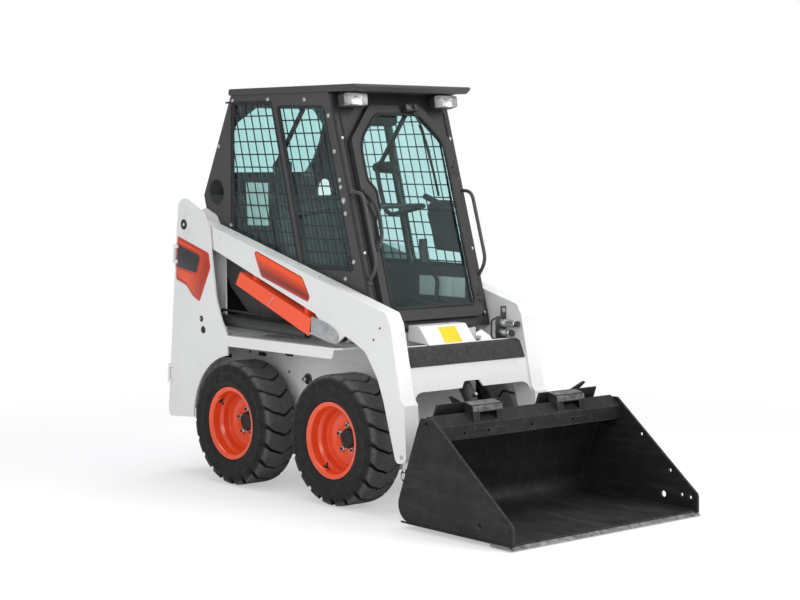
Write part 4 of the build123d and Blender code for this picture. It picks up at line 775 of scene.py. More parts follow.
def make_cab_seals():
    """Rubber round the windows and the door, and the strips along the posts."""
    shape = Shape()
    for side in (1, -1):
        face = side_plane(side, CAB_X)
        for pane in (REAR_PANE, FRONT_PANE):
            edge = rounded(pane, 20, 5)
            shape.tube(face.at(edge, np.full(len(edge), -0.5)), 4.0, 0, 8, closed=True)
        strip = np.array([(905, 1752), (572, 1750), (560, 1735), (372, 1030), (366, 985)], float)
        shape.tube(face.at(strip, np.full(5, 0.5)), 4.5, 14, 8)
        post = [(side * (CAB_X + 1), front_y(z, -8), z) for z in (1740, 1300, 780)]
        shape.tube(post, 7.0, 10, 10)
        post = [(side * (CAB_X - 26), front_y(z, 1.5), z) for z in (1700, 1300, 790)]
        shape.tube(post, 4.5, 10, 8)
    shape.build("cab_seals", "grip rubber", "chassis", "tyre_rubber", (), 40.0)
    door = Shape()
    edge = rounded(DOOR_PANE, DOOR_PANE_CORNERS, 6)
    door.tube(on_front(edge, DOOR_OUT), 6.0, 0, 10, closed=True)
    door.tube(on_front(rounded(DOOR_EDGE, 45, 6), 4.0), 5.0, 0, 8, closed=True)
    return door.build("door_seals", "grip rubber", "door", "tyre_rubber", (), 40.0)


def make_screens():
    """Wire screens in the side windows: uprights that lean as the window's post does,
    crossed by level wires, in a flat rim."""
    shape = Shape()
    for pane in (REAR_PANE, FRONT_PANE):
        p = np.array(pane, float)
        slope = np.array([p[1, 0] - p[2, 0], p[1, 1] - p[2, 1]]) / (p[1, 1] - p[2, 1])
        top = min(p[0, 1], p[1, 1])
        lines = [(np.array([p[1, 0] + k * SCREEN_PITCH, p[1, 1]]), slope) for k in range(-1, 12)]
        lines += [(np.array([0.0, top - k * SCREEN_PITCH]), np.array([1.0, 0.0])) for k in range(14)]
        for side in (1, -1):
            face = side_plane(side, 0)
            rim = rounded(inset(pane, 1.0), 20, 6)
            for a, b in ((322.6, 3.6), (329.4, 3.6)):
                shape.tube(face.at(inset(rim, b), np.full(len(rim), a)), 3.4, 0, 6, closed=True)
            for start, run in lines:
                span = crossing(p, start, run)
                if span:
                    at = 327.6 if run[1] else 324.4
                    wire = np.array([start + run * span[0], start + run * span[1]])
                    shape.tube(face.at(wire, np.full(2, at)), 3.0, 0, 6)
    return shape.build("window_screens", "frame black", "chassis", "black_paint", "side_screens", 40.0)


def crossing(corners, start, run):
    """Where a line start + t.run enters and leaves a convex outline, 3 mm inside it."""
    low, high = -1e6, 1e6
    turn = np.sign(np.cross(corners[1] - corners[0], corners[2] - corners[1]))
    for a, b in zip(corners, np.roll(corners, -1, 0)):
        edge = (b - a) / np.linalg.norm(b - a)
        normal = turn * np.array([-edge[1], edge[0]])
        gap, rate = (start - a) @ normal - 3.0, run @ normal
        if abs(rate) < 1e-6:
            if gap < 0:
                return None
        elif rate > 0:
            low = max(low, -gap / rate)
        else:
            high = min(high, -gap / rate)
    return (low, high) if high - low > 12 else None


def make_handles():
    """Grab handles on the front posts, with welded feet."""
    shape = Shape()
    hi, lo, out = 1351.0, 960.0, 70.0
    for side in (1, -1):
        x = side * 322
        shape.tube([(x, front_y(hi, -6), hi), (x, front_y(hi) - out, hi - 4),
                    (x, front_y(lo + 77) - out, lo + 77), (x, front_y(lo, -6), lo)], 8.0, 42, 18, steps=10)
        for z in (hi - 1, lo + 2):
            shape.turned(front_plane(), [(13, 0), (13, 3), (10, 6), (8.2, 8)], (x, slant(z)), 24)
    return shape.build("handle_tubes", "cab charcoal", "chassis", "black_paint", "grab_handles", 40.0)


def make_seat_bar():
    """Bar over the operator's lap with its pivot eyes, and the braces behind it."""
    shape = Shape()
    arm = [(285, 557, 1452), (285, 527, 1341), (285, 483, 1224), (285, 193, 1279)]
    path = arm + [(-x, y, z) for x, y, z in arm[::-1]]
    shape.tube(path, 11.0, 62, 18, steps=10)
    for side in (1, -1):
        plane = side_plane(side, 0)
        shape.turned(plane, [(20, 277), (20, 293), (19, 294), (8.6, 294), (8.6, 276), (19, 276)],
                     BAR_PIVOT, 32, closed=True)
    shape.build("bar_tube", "frame black", "seat_bar", "black_paint", "seat_bar", 40.0)
    brace = Shape()
    for side in (1, -1):
        brace.tube([(side * 308, *end) for end in BRACE_ENDS], 11.0, 0, 16)
        for end in BRACE_ENDS:
            brace.turned(side_plane(side, 0), [(15, 300), (16, 302), (16, 314), (15, 316)], end, 28)
    return brace.build("bar_braces", "frame black", "chassis", "black_paint", (), 40.0)


def make_door_fittings():
    """Latch bar, lock, wiper and hinge bolts of the door."""
    shape = Shape()
    bar = [(-290, 1333), (-262, 1306), (-238, 1243), (-246, 1148), (-283, 1092)]
    path = on_front(bar, 52.0)
    foot = on_front([bar[0], bar[-1]], DOOR_OUT - 2)
    shape.tube(np.vstack([foot[:1], path, foot[1:]]), 8.0, 26, 16)
    plane = front_plane()
    lock = rounded([(-286, slant(1288)), (-262, slant(1288)), (-262, slant(1352)), (-286, slant(1352))], 8)
    shape.plate(plane, lock, DOOR_OUT - 1, DOOR_OUT + 14, 3.0)
    shape.turned(plane, [(9, DOOR_OUT), (9, DOOR_OUT + 18), (8, DOOR_OUT + 19), (2, DOOR_OUT + 18.6)],
                 (-274, slant(1306)), 24)
    box = rounded([(32, slant(1690)), (108, slant(1690)), (108, slant(1722)), (32, slant(1722))], 8)
    shape.plate(plane, box, DOOR_OUT - 1, DOOR_OUT + 34, 4.0)
    shape.turned(plane, [(11, DOOR_OUT + 30), (11, DOOR_OUT + 44), (9, DOOR_OUT + 46), (3, DOOR_OUT + 46)],
                 (79, slant(1706)), 24)
    arm = on_front([(79, 1706), (124, 1631), (150, 1450)], 0)
    out = plane.w
    lift = np.array([40.0, 36.0, 24.0])[:, None]
    shape.tube(arm + out * lift, 5.0, 30, 8)
    blade = on_front([(128, 1640), (152, 1546), (158, 1400), (160, 1322)], 17.0)
    shape.tube(blade, 3.4, 60, 6)
    shape.tube(blade + out * 7, 2.2, 60, 6)
    for t in np.linspace(0.06, 0.94, 9):
        k = min(int(t * 3), 2)
        a = blade[k] + (blade[k + 1] - blade[k]) * (t * 3 - k)
        shape.tube([a, a + out * 8.5], 4.2, 0, 8)
    shape.build("door_fittings", "frame black", "door", "black_paint", (), 35.0)
    bolts = Shape()
    spots = [(272, slant(z + step)) for z in (1436, 870) for step in (-12, 12)]
    buttons(bolts, front_plane(), spots, 5.5, 5.0)
    bolts.points = [q + out * DOOR_OUT for q in bolts.points]
    return bolts.build("door_bolts", "dark fastener", "door", "black_paint", (), 30.0)


def make_work_lights():
    """Lamps under the visor: housing, dished mirror, bulb and ribbed lens."""
    shape = Shape()
    for side in (1, -1):
        plane = Plane((side * 266, 34, 1757), (1, 0, 0), (0, 0.09, 1))
        edge = rounded([(-57, -36), (57, -36), (57, 24), (-57, 24)], 12, 5)

        def ring(depth, out, keep=1.0):
            return plane.at(inset(edge, depth) * keep, np.full(len(edge), out))

        case = [(10, -78), (3, -76), (0, -62), (0, -38), (0.8, -36), (2.4, -36), (3.2, -37), (4.5, -42)]
        shape.grid(np.array([ring(*b) for b in case]), round_v=True)
        shape.grid(np.array([ring(10, -78), ring(10, -78, 0.01)]), round_v=True)
        bowl = [(4.5, -36, 1.0), (6, -41, 0.97), (9, -47, 0.88), (12, -52, 0.72), (14, -55, 0.5),
                (14, -56, 0.2)]
        shape.grid(np.array([ring(*b) for b in bowl]), round_v=True, ends=True, mark=1)
        shape.grid(np.array([ring(2.4, -37), ring(2.4, -20), ring(4.4, -6), ring(7, -0.6), ring(12, 1.6)]),
                   round_v=True, ends=True, mark=2)
        shape.turned(plane, [(4, -55), (7, -50), (8.5, -44), (7, -36), (3, -33)], (0, 0), 20, mark=1)
        bracket = rounded([(-46, 24), (46, 24), (46, 26.6), (-46, 26.6)], 0.4, 2)
        shape.plate(plane, bracket, -70, -12, 0.5)
    return shape.build("lamps", ["cab plastic", "lamp mirror", "lamp lens"], "chassis", "lamp_lens",
                       "work_lights", 35.0)


def make_cab_inside():
    """Headliner, floor mat and the bare panels on the walls."""
    shape = Shape()
    top = Plane((0, 0, ROOF_UNDER), (1, 0, 0), (0, 1, 0))
    shape.plate(top, rounded([(-286, 250), (286, 250), (286, 800), (-286, 800)], 60), -58, -2, 20.0)
    shape.plate(top, rounded([(196, 410), (300, 410), (300, 720), (196, 720)], 30), -139, -2, 16.0)
    rest = rounded([(182, 1256), (176, 1284), (147, 1300), (96, 1306), (31, 1302), (-20, 1288),
                    (-30, 1256)], 10)
    shape.plate(side_plane(1, 0), rest, 262, 308, 7.0)
    shape.tube([(285, 216, 1321), (285, 128, 1292)], 14.0, 0, 18)
    mat = Plane((0, 0, 446.4), (1, 0, 0), (0, 1, 0))
    shape.plate(mat, rounded([(-214, -96), (214, -96), (214, 352), (-214, 352)], 20), 0, 5, 2.0)
    shape.build("headliner", "cab plastic", "chassis", "cab_plastic", (), 40.0)
    pale = Shape()
    wall = Plane((319.4, 0, 0), (0, 1, 0), (0, 0, 1))
    for y0, y1 in ((150, 290), (66, 148), (-17, 64)):
        pale.plate(wall, rounded([(y0, 864), (y1, 864), (y1, 954), (y0, 954)], 5), -1.4, -0.1, 0.5)
    near = Plane((-312.0, 0, 0), (0, 1, 0), (0, 0, 1))
    tag = rounded([(612, 1190), (770, 1188), (782, 1384), (616, 1384)], 6)
    pale.plate(near, tag, -0.6, 0.6, 0.3)
    pale.build("pale_panels", "label pale", "chassis", "black_paint", (), 40.0)
    knob = Shape()
    key = rounded([(-252, 812), (-222, 812), (-222, 850), (-252, 850)], 5)
    knob.plate(Plane((0, 326, 0), (1, 0, 0), (0, 0, 1)), key, 0, 16, 3.0)
    return knob.build("red_switch", "label red", "chassis", "red_lens", (), 40.0)


# Soft parts

def make_pad(name, outline, half, body, seams):
    """Foam pad from a side outline: a rounded block that is remeshed, blown up a
    little as cloth and given piping along its long edges."""
    shape = Shape()
    side = Plane((0, 0, 0), (0, 1, 0), (0, 0, 1))
    edge = rounded(outline, 34, 6)
    shape.plate(side, edge, -half + 6, half - 6, 26.0)
    pad = shape.build(name, "seat vinyl", body, "seat_vinyl", (), 60.0)
    before = None
    melt = pad.modifiers.new("even", "REMESH")
    melt.mode = "VOXEL"
    melt.voxel_size = 0.008
    fix_mesh(pad)
    before = points_of(pad)
    puff = pad.modifiers.new("foam", "CLOTH")
    puff.settings.use_pressure = True
    puff.settings.uniform_pressure_force = 4.0
    puff.settings.effector_weights.gravity = 0.0
    puff.settings.tension_stiffness = 22.0
    puff.settings.bending_stiffness = 2.0
    for step in range(1, 19):
        bpy.context.scene.frame_set(step)
    fix_mesh(pad)
    after = points_of(pad)
    move = after - before
    far = np.linalg.norm(move, axis=1, keepdims=True)
    after = before + move * np.minimum(1.0, 0.007 / np.maximum(far, 1e-9))
    pad.data.vertices.foreach_set("co", after.astype(np.float32).ravel())
    bpy.context.scene.frame_set(1)
    pad.data.shade_smooth()
    soft = pad.modifiers.new("smooth", "SUBSURF")
    soft.levels = soft.render_levels = 1
    cord = Shape()
    for x in seams:
        ring = side.at(inset(edge, -1.0), np.full(len(edge), x))
        cord.tube(ring, 3.0, 0, 8, closed=True)
    cord.build(name + "_piping", "grip rubber", body, "seat_vinyl", (), 60.0)
    return pad


def points_of(piece):
    """Vertex places of a mesh."""
    co = np.empty(len(piece.data.vertices) * 3, np.float32)
    piece.data.vertices.foreach_get("co", co)
    return co.reshape(-1, 3).astype(float)


def fix_mesh(piece):
    """The piece's evaluated shape becomes its own mesh."""
    graph = bpy.context.evaluated_depsgraph_get()
    made = bpy.data.meshes.new_from_object(piece.evaluated_get(graph))
    made.materials.clear()
    for slot in piece.data.materials:
        made.materials.append(slot)
    piece.modifiers.clear()
    piece.data = made


def make_seat():
    """Seat cushion and backrest over their solids."""
    cushion = [(330, 804), (330, 892), (650, 873), (650, 764), (400, 764)]
    back = [(606, 880), (698, 1328), (768, 1328), (718, 880)]
    low = make_pad("seat_cushion", cushion, 214, "chassis", (-176, 176))
    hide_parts("seat")
    return make_pad("seat_back", back, 214, "chassis", (-176, 176))


# Hydraulics

def make_cylinder(barrel, rod, x, base, end, ports, length, radius, bore, rod_radius, rod_length, halves):
    """Barrel with gland, ports and a steel line, and a chromed rod, both on the line
    from the base eye to the rod eye. halves are half the eyes' widths."""
    hole = EYE_PIN + 0.5
    b, e = np.array([x, *base], float), np.array([x, *end], float)
    d = (e - b) / np.linalg.norm(e - b)
    across = np.array([1.0, 0, 0])
    place = Plane(b, across, np.cross(d, across))
    shape = Shape()
    r, q = radius, rod_radius
    shape.turned(place, [(r - 6, 16), (r - 1, 19), (r, 22), (r, length - 38), (r + 2, length - 36),
                         (r + 2, length - 26), (r + 0.6, length - 25), (r + 0.6, length - 22),
                         (r + 2, length - 21), (r + 2, length - 4), (r, length), (q + 4, length),
                         (q + 3.2, length - 2),
                         (q + 0.5, length - 2.5), (q + 0.5, length - 34), (bore, length - 34.5), (bore, 46),
                         (1, 44)], (0, 0), 40)
    eye = Plane(b, (0, 1, 0), (0, 0, 1))
    w = halves[0]
    shape.turned(eye, [(25, -w), (26, -w + 1), (26, w - 1), (25, w), (hole, w), (hole, -w)],
                 (0, 0), 40, closed=True)
    out = place.v if place.v[2] > 0 else -place.v
    foot, head = b + d * 52, b + d * (length - 60)
    for spot in (foot, head):
        port = Plane(spot + out * (r - 2), across, np.cross(out, across))
        shape.turned(port, [(10, 0), (10, 8), (9, 9)], (0, 0), 20)
    barrel_piece = shape.build(barrel + "_shape", "frame black", body_of(barrel), "black_paint", barrel, 32.0)
    lines = Shape()
    for spot in (foot, head):
        port = Plane(spot + out * (r + 6.5), across, np.cross(out, across))
        lines.hexes(port, [(0, 0)], 15.0, 9.0)
    if ports:
        rise = r + 19
        lines.tube([head + out * (r + 10), head + out * rise, foot + d * 26 + out * rise,
                    foot + d * 26 + out * (r + 6), foot + d * 6 + out * (r + 6)], 6.0, 12, 12, mark=1)
    lines.build(barrel + "_lines", ["zinc", "grip rubber"], body_of(barrel), "black_paint", (), 32.0)
    back = Plane(e, across, np.cross(-d, across))
    rods = Shape()
    rods.turned(back, [(q, 12), (q, rod_length - 2), (q - 2, rod_length)], (0, 0), 36)
    eye = Plane(e, (0, 1, 0), (0, 0, 1))
    w = halves[1]
    rods.turned(eye, [(25, -w), (26, -w + 1), (26, w - 1), (25, w), (hole, w), (hole, -w)],
                (0, 0), 40, mark=1, closed=True)
    rods.turned(back, [(q + 5, 20), (q + 4, 27), (q + 0.3, 31)], (0, 0), 32, mark=1)
    rods.build(rod + "_shape", ["rod chrome", "frame black"], body_of(rod), "rod_chrome", rod, 32.0)
    return barrel_piece


def make_cylinders():
    """Lift cylinders on both sides and the tilt cylinder in the middle."""
    for word, side in SIDES:
        make_cylinder("lift_barrel_" + word, "lift_rod_" + word, side * 385, BARREL_PIN, ROD_PIN, True,
                      **LIFT_CYLINDER)
    y, z = BUCKET_HINGE
    eye = (y - TILT_EYE_REACH * math.cos(TILT_EYE_TURN), z + TILT_EYE_REACH * math.sin(TILT_EYE_TURN))
    return make_cylinder("tilt_barrel", "tilt_rod", 0, TILT_PIN, eye, False, **TILT_CYLINDER)


def make_pins():
    """Pin heads, keeper bolts and grease nipples at the machine's pivots."""
    white, bright = Shape(), Shape()
    for side in (1, -1):
        out = side_plane(side, 0)
        white.turned(out, [(27, 440), (27, 452), (25.5, 453.5), (25, 453.5), (24.6, 450)], ARM_PIVOT, 40)
        white.turned(out, [(25, 440), (25, 445), (23, 446.5), (15.5, 446.6), (14.8, 445)], BARREL_PIN, 40)
        bright.turned(out, [(16.5, 440), (16.5, 442), (15, 442.8), (5, 442)], (951, 698), 32, mark=1)
        bright.turned(out, [(24, 452), (24, 456.4), (22, 457.6), (9, 457.8), (8, 454), (7.6, 454)],
                      ARM_PIVOT, 36, mark=1)
        bright.turned(out, [(14, 444), (14, 446.5), (5, 447)], BARREL_PIN, 28, mark=1)
        for pin, x in ((ARM_PIVOT, 454), (BARREL_PIN, 446)):
            nipple = [(3.4, x), (3.4, x + 3.5), (2.2, x + 5), (3, x + 7), (2.4, x + 9.5), (1, x + 10)]
            bright.turned(out, nipple, pin, 12)
    white.build("pivot_rings", "body white", "chassis", "white_paint", (), 32.0)
    bright.build("pivot_pins", ["zinc", "dark fastener"], "chassis", "rod_chrome", (), 32.0)
    legs = Shape()
    for side in (1, -1):
        out = side_plane(side, ARM_FACE)
        buttons(legs, out, [(-422, 259)], 8.0, 6.0)
        buttons(legs, out, [(110, 984)], 4.5, 3.5)
        head = [(14, -1), (14, 2.4), (12.8, 3.4), (6, 3.4), (5, 2)]
        legs.turned(side_plane(side, 429), head, ROD_PIN, 28)
        buttons(legs, out, [(-286, 787), (-246, 736)], 4.0, 2.5, mark=1)
    legs.build("arm_bolts", ["zinc", "dark fastener"], "arms", "rod_chrome", (), 32.0)
    ends = Shape()
    for side in (1, -1):
        shoe = rounded([(166, 812), (60, 784), (24, 770), (-16, 742), (-17, 712), (14, 701), (60, 707),
                        (168, 732)], 14)
        ends.plate(side_plane(side, ARM_FACE), shoe, 0.2, 4.4, 1.0)
        back = [(-118, 713), (-191, 681), (-268, 577), (-306, 488), (-322, 440)]
        path = side_plane(side, 0).at(rounded(np.array(back) + (6, -6), 60, 6, closed=False))
        path[:, 0] = side * 398
        ends.tube(path, 7.0, 0, 12, mark=1)
    ends.build("rod_shoes", ["galvanised", "grip rubber"], "arms", "worn_steel", (), 32.0)
    pins = Shape()
    for side in (1, -1):
        out = side_plane(side, 418)
        pins.turned(out, [(15, -2), (15, 2), (13.5, 3.2), (5, 3.2), (4, 2)], BUCKET_HINGE, 28)
        pins.hexes(side_plane(side, 412), [(-430, 203)], 13.0, 6.0)
    return pins.build("coupler_pins", "zinc", "bucket", "rod_chrome", (), 32.0)


def make_couplings():
    """Quick couplers, nuts and the guard wire at the left arm's knee."""
    shape = Shape()
    ahead = Plane((316, -250, 0), (1, 0, 0), (0, 0, 1))
    for z, tip in ((766, 112), (724, 77)):
        shape.turned(ahead, [(14.6, -2), (17, 0), (17, 12), (14.6, 14)], (0, z), 6)
        body = [(14.6, 18), (16.4, 20)]
        for k in range(5):
            body += [(16.4, 24 + 5 * k), (15.2, 25.2 + 5 * k), (15.2, 27.4 + 5 * k), (16.4, 28.6 + 5 * k)]
        body += [(16.4, tip - 16), (13, tip - 12), (13, tip - 3), (12, tip), (8.5, tip), (8.5, tip - 10)]
        shape.turned(ahead, body, (0, z), 32)
    shape.tube([(300, -236, 786), (286, -226, 778), (280, -230, 700), (300, -240, 690), (318, -246, 704)],
               4.0, 24, 10, mark=1)
    collar = Plane((331, -256, 822), (1, 0, 0), (0, 0, 1))
    shape.turned(collar, [(11, -1), (11, 1.4), (8, 2), (8, 0)], (0, 0), 24)
    return shape.build("couplers", ["zinc", "frame black"], "arms", "rod_chrome", (), 30.0)


def make_frame_fittings():
    """Slots of the frame's walls as flat dark plates of painted shade, plugs of the walls, the strut's clip
    and the tail's latch.
    """
    dark, bright = Shape(), Shape()
    for side in (1, -1):
        wall = side_plane(side, WALL_FACE)
        # Each slot is a flat black plate on the wall: painted shade standing for its opening.
        for y, z, w, h in ((761, 586, 30, 9), (1030, 558, 30, 9), (560, 600, 30, 9)):
            slot = rounded([(y - w, z - h), (y + w, z - h), (y + w, z + h), (y - w, z + h)], h)
            dark.plate(wall, slot, -0.2, 0.5, 0.3)
        dark.turned(wall, [(25, 0), (25, 6), (22, 8), (14, 8.5), (14, 20), (12, 22)], FRAME_PORT, 32)
        bright.hexes(side_plane(side, 262), [FRAME_PORT], 18.0, 10.0)
        spots = np.array(FRAME_PORT) + 19 * np.array([(0, 1), (0.87, -0.5), (-0.87, -0.5)])
        buttons(bright, side_plane(side, 246), spots, 3.4, 4.0)
        buttons(dark, wall, [(330, 615), (855, 590), (560, 520), (1100, 470)], 5.0, 3.0)
    latch = Plane((0, tail_y(1000, 9), 1000), (-1, 0, 0), (0, -TAIL_LEAN, 1))
    dark.plate(latch, rounded([(-300, -34), (-236, -34), (-236, 34), (-300, 34)], 10), -0.5, 3, 1.2)
    dark.build("frame_plugs_and_shade_slots", "frame black", "chassis", "black_paint", (), 32.0)
    bright.build("frame_bolts", "zinc", "chassis", "rod_chrome", (), 32.0)
    core = Plane((0, 1128, 780), (-1, 0, 0), (0, 0, 1))
    cooler = Shape()
    cooler.plate(core, rounded([(-226, -150), (226, -150), (226, 150), (-226, 150)], 6), -16, 0, 2.0)
    for x in np.arange(-210, 211, 14.0):
        cooler.plate(core, [(x - 1.5, -138), (x + 1.5, -138), (x + 1.5, 138), (x - 1.5, 138)], -1, 5, 0.5)
    cooler.build("cooler", "frame black", "chassis", "black_paint", (), 32.0)
    clip = Shape()
    clip.tube([(-400, 430, 884), (-428, 436, 874), (-428, 474, 838), (-404, 486, 826)], 2.4, 14, 10)
    clip.build("strut_clip", "zinc", "arms", "rod_chrome", (), 32.0)
    lens = Shape()
    for side in (1, -1):
        back = Plane((side * 372, tail_y(1110, 9.3) + 2.8, 1110), (-1, 0, 0), (0, 0, 1))
        lens.turned(back, [(32, 0), (32, 5), (30, 7), (29, 7)], (0, 0), 40, mark=1)
        lens.turned(back, [(29, 1), (29, 10), (27.5, 14), (23, 17), (12, 18.6), (2, 18.8)], (0, 0), 40)
        for x in (-25, 25):
            lens.turned(back, [(3.2, 12), (3.2, 17), (2, 18)], (x * 0.86, 0), 10, mark=1)
    return lens.build("tail_lenses", ["red lens", "cab plastic"], "tailgate", "red_lens", "tail_lights", 32.0)


# Bare labels

def make_labels():
    """Bare patches where the machine carries its stickers, without words or marks."""
    arms, uprights = Shape(), Shape()
    patch = rounded([(577, 1072), (560, 1080), (232, 978), (178, 893), (191, 869), (526, 966)], 12)
    badge = rounded([(1152, 1130), (903, 1058), (891, 991), (979, 828), (1035, 853), (1083, 899),
                     (1168, 925)], 12)
    band = [(1146, 1112), (918, 1046), (906, 996), (988, 846), (1040, 872), (1088, 915), (1160, 940)]
    screen = rounded([(1150, 1090), (981, 1046), (976, 1026), (1003, 961), (1160, 985)], 8)
    for side in (1, -1):
        out = side_plane(side, ARM_FACE)
        arms.plate(out, patch, 0.05, 0.4, 0.15)
        arms.plate(out, inset(patch, 7), 0.3, 0.6, 0.1, mark=1)
        out = side_plane(side, UPRIGHT_FACE)
        uprights.plate(out, badge, 0.05, 0.4, 0.15)
        uprights.plate(out, rounded(band, 14), 0.3, 0.55, 0.1, mark=1)
        uprights.plate(out, inset(screen, -10), 0.5, 0.7, 0.1)
        uprights.plate(out, screen, 0.6, 0.85, 0.1, mark=2)
    slope = Plane((0, -318, 698.1), (1, 0, 0), (0, 0.667, 0.745))
    yellow = rounded([(-82, 6), (22, 6), (30, 92), (-71, 92)], 4)
    arms.plate(slope, yellow, 4.1, 4.6, 0.2, mark=2)
    arms.build("arm_labels", ["label red", "arm patch", "label yellow"], "arms", "orange_paint", (), 30.0)
    return uprights.build("upright_labels", ["label red", "tail patch", "label dark"], "chassis",
                          "orange_paint", (), 30.0)


# Welds

def bead(shape, points, radius=4.0, bend=8.0, mark=0):
    """Weld bead: a tube whose radius is r(1 + 0.16 sin s) along its run s."""
    path = rounded(points, bend, 5, closed=False)
    gaps = np.linalg.norm(np.diff(path, axis=0), axis=1)
    run = np.r_[0, np.cumsum(gaps)]
    at = np.arange(0, run[-1], 3.0)
    fine = np.stack([np.interp(at, run, path[:, k]) for k in range(3)], 1)
    return shape.tube(fine, radius * (1 + 0.16 * np.sin(at * 1.05)), 0, 8, mark)


def make_welds():
    """Beads in the bucket's corners and where the cross plate meets the arms."""
    back = math.tan(math.radians(20.5))

    def back_y(z, off=0.0):
        return -603 - (z - 274) * back + off

    inside = Shape()
    for side in (1, -1):
        x = side * 538.0
        bead(inside, [(x, -1165, 23), (x, -600, 34), (x, -560, 44), (x, -536, 74), (x, back_y(110, -7), 110),
                      (x, back_y(335, -7), 335)], 4.2, 20)
        bead(inside, [(side * 549.5, -1150, 17), (side * 549.5, -560, 27)], 4.0)
    inside.build("bucket_welds", "bucket black", "bucket", "bucket_black", (), 60.0)
    caps = Shape()
    for x in (-245, 245):
        crown = Plane((x, -746, 498), (1, 0, 0), (0, 49, 11))
        caps.plate(crown, rounded([(-83, 4), (83, 4), (83, 49), (-83, 49)], 4), 0.1, 0.7, 0.3)
        front = Plane((x, -763, 402), (1, 0, 0), (0, 17, 96))
        caps.plate(front, rounded([(-83, 72), (83, 72), (83, 95), (-83, 95)], 3), 0.1, 0.7, 0.3)
    caps.build("guard_wear", "worn plate", "bucket", "worn_steel", (), 40.0)
    arms = Shape()
    path = [(-405, 518), (-380, 621), (-349, 690), (-300, 702)]
    for side in (1, -1):
        x = side * 346.5
        bead(arms, [(x, y - 1, z) for y, z in path], 3.6, 14)
        bead(arms, [(x, y + 11, z - 2) for y, z in path[:3]], 3.6, 14)
    return arms.build("arm_welds", "body white", "arms", "white_paint", (), 60.0)


# Stage

def seen_directly(nodes, links):
    """One where a ray comes from the camera or through glass, else nothing."""
    rays = nodes.new("ShaderNodeLightPath")
    seen = nodes.new("ShaderNodeMath")
    seen.operation = "MAXIMUM"
    links.new(rays.outputs["Is Camera Ray"], seen.inputs[0])
    links.new(rays.outputs["Is Transmission Ray"], seen.inputs[1])
    return seen.outputs[0]


def make_stage(stage):
    """Pale floor, white surroundings, soft lamps and the camera."""
    world = bpy.data.worlds.new("studio")
    bpy.context.scene.world = world
    world.use_nodes = True
    nodes, links = world.node_tree.nodes, world.node_tree.links
    soft = nodes["Background"]
    soft.inputs["Color"].default_value = (0.93, 0.96, 1.0, 1)
    soft.inputs["Strength"].default_value = stage.sky
    white = nodes.new("ShaderNodeBackground")
    white.inputs["Color"].default_value = (1, 1, 1, 1)
    white.inputs["Strength"].default_value = 1.0
    mix = nodes.new("ShaderNodeMixShader")
    links.new(seen_directly(nodes, links), mix.inputs[0])
    links.new(soft.outputs[0], mix.inputs[1])
    links.new(white.outputs[0], mix.inputs[2])
    links.new(mix.outputs[0], nodes["World Output"].inputs["Surface"])

    mesh = bpy.data.meshes.new("floor")
    mesh.from_pydata([(-40, -40, -0.001), (40, -40, -0.001), (40, 60, -0.001), (-40, 60, -0.001)], [],
                     [(0, 1, 2, 3)])
    floor = bpy.data.objects.new("floor", mesh)
    bpy.context.scene.collection.objects.link(floor)
    made = bpy.data.materials.new("pale floor")
    made.use_nodes = True
    nodes, links = made.node_tree.nodes, made.node_tree.links
    base = nodes["Principled BSDF"]
    base.inputs["Base Color"].default_value = (0.86, 0.86, 0.865, 1)
    base.inputs["Roughness"].default_value = 0.85
    glow = nodes.new("ShaderNodeEmission")
    glow.inputs["Color"].default_value = (1, 1, 1, 1)
    far = nodes.new("ShaderNodeVectorMath")
    far.operation = "LENGTH"
    links.new(nodes.new("ShaderNodeNewGeometry").outputs["Position"], far.inputs[0])
    fade = nodes.new("ShaderNodeMapRange")
    fade.interpolation_type = "SMOOTHSTEP"
    for key, value in (("From Min", 1.6), ("From Max", 4.2), ("To Min", stage.floor_glow), ("To Max", 1.0)):
        fade.inputs[key].default_value = value
    links.new(far.outputs["Value"], fade.inputs["Value"])
    part = nodes.new("ShaderNodeMath")
    part.operation = "MULTIPLY"
    links.new(fade.outputs["Result"], part.inputs[1])
    links.new(seen_directly(nodes, links), part.inputs[0])
    mix = nodes.new("ShaderNodeMixShader")
    links.new(part.outputs[0], mix.inputs[0])
    links.new(base.outputs[0], mix.inputs[1])
    links.new(glow.outputs[0], mix.inputs[2])
    links.new(mix.outputs[0], nodes["Material Output"].inputs["Surface"])
    mesh.materials.append(made)

    for name, place, size, power, tint in (
            ("key", (2.4, -5.6, 4.4), 3.2, stage.key_power, (1.0, 0.99, 0.97)),
            ("front fill", (-3.7, -3.0, 2.4), 2.4, stage.fill_power, (1.0, 1.0, 1.0)),
            ("side low", (-4.3, 0.6, 2.2), 1.6, stage.side_power, (1.0, 1.0, 1.0)),
            ("top strip", (0.2, 0.6, 5.8), 4.4, stage.top_power, (1.0, 1.0, 1.0))):
        lamp = bpy.data.lights.new(name, "AREA")
        lamp.size = size
        lamp.energy = power
        lamp.color = tint
        holder = bpy.data.objects.new(name, lamp)
        holder.location = place
        aim = Vector(LAMP_AIM) - Vector(place)
        holder.rotation_euler = aim.to_track_quat("-Z", "Y").to_euler()
        bpy.context.scene.collection.objects.link(holder)

    lens = bpy.data.cameras.new("photo view")
    lens.lens = CAMERA_LENS
    lens.sensor_width = 36.0
    lens.sensor_fit = "HORIZONTAL"
    lens.shift_x = -0.0009
    lens.shift_y = 0.0049
    lens.clip_end = 200.0
    eye = bpy.data.objects.new("photo view", lens)
    place = Vector(mm(CAMERA_PLACE))
    aim = Vector(mm(CAMERA_AIM)) - place
    eye.location = place
    eye.rotation_euler = aim.to_track_quat("-Z", "Y").to_euler()
    bpy.context.scene.collection.objects.link(eye)
    bpy.context.scene.camera = eye
    bpy.context.scene.view_settings.view_transform = "Standard"


# Add-on classes

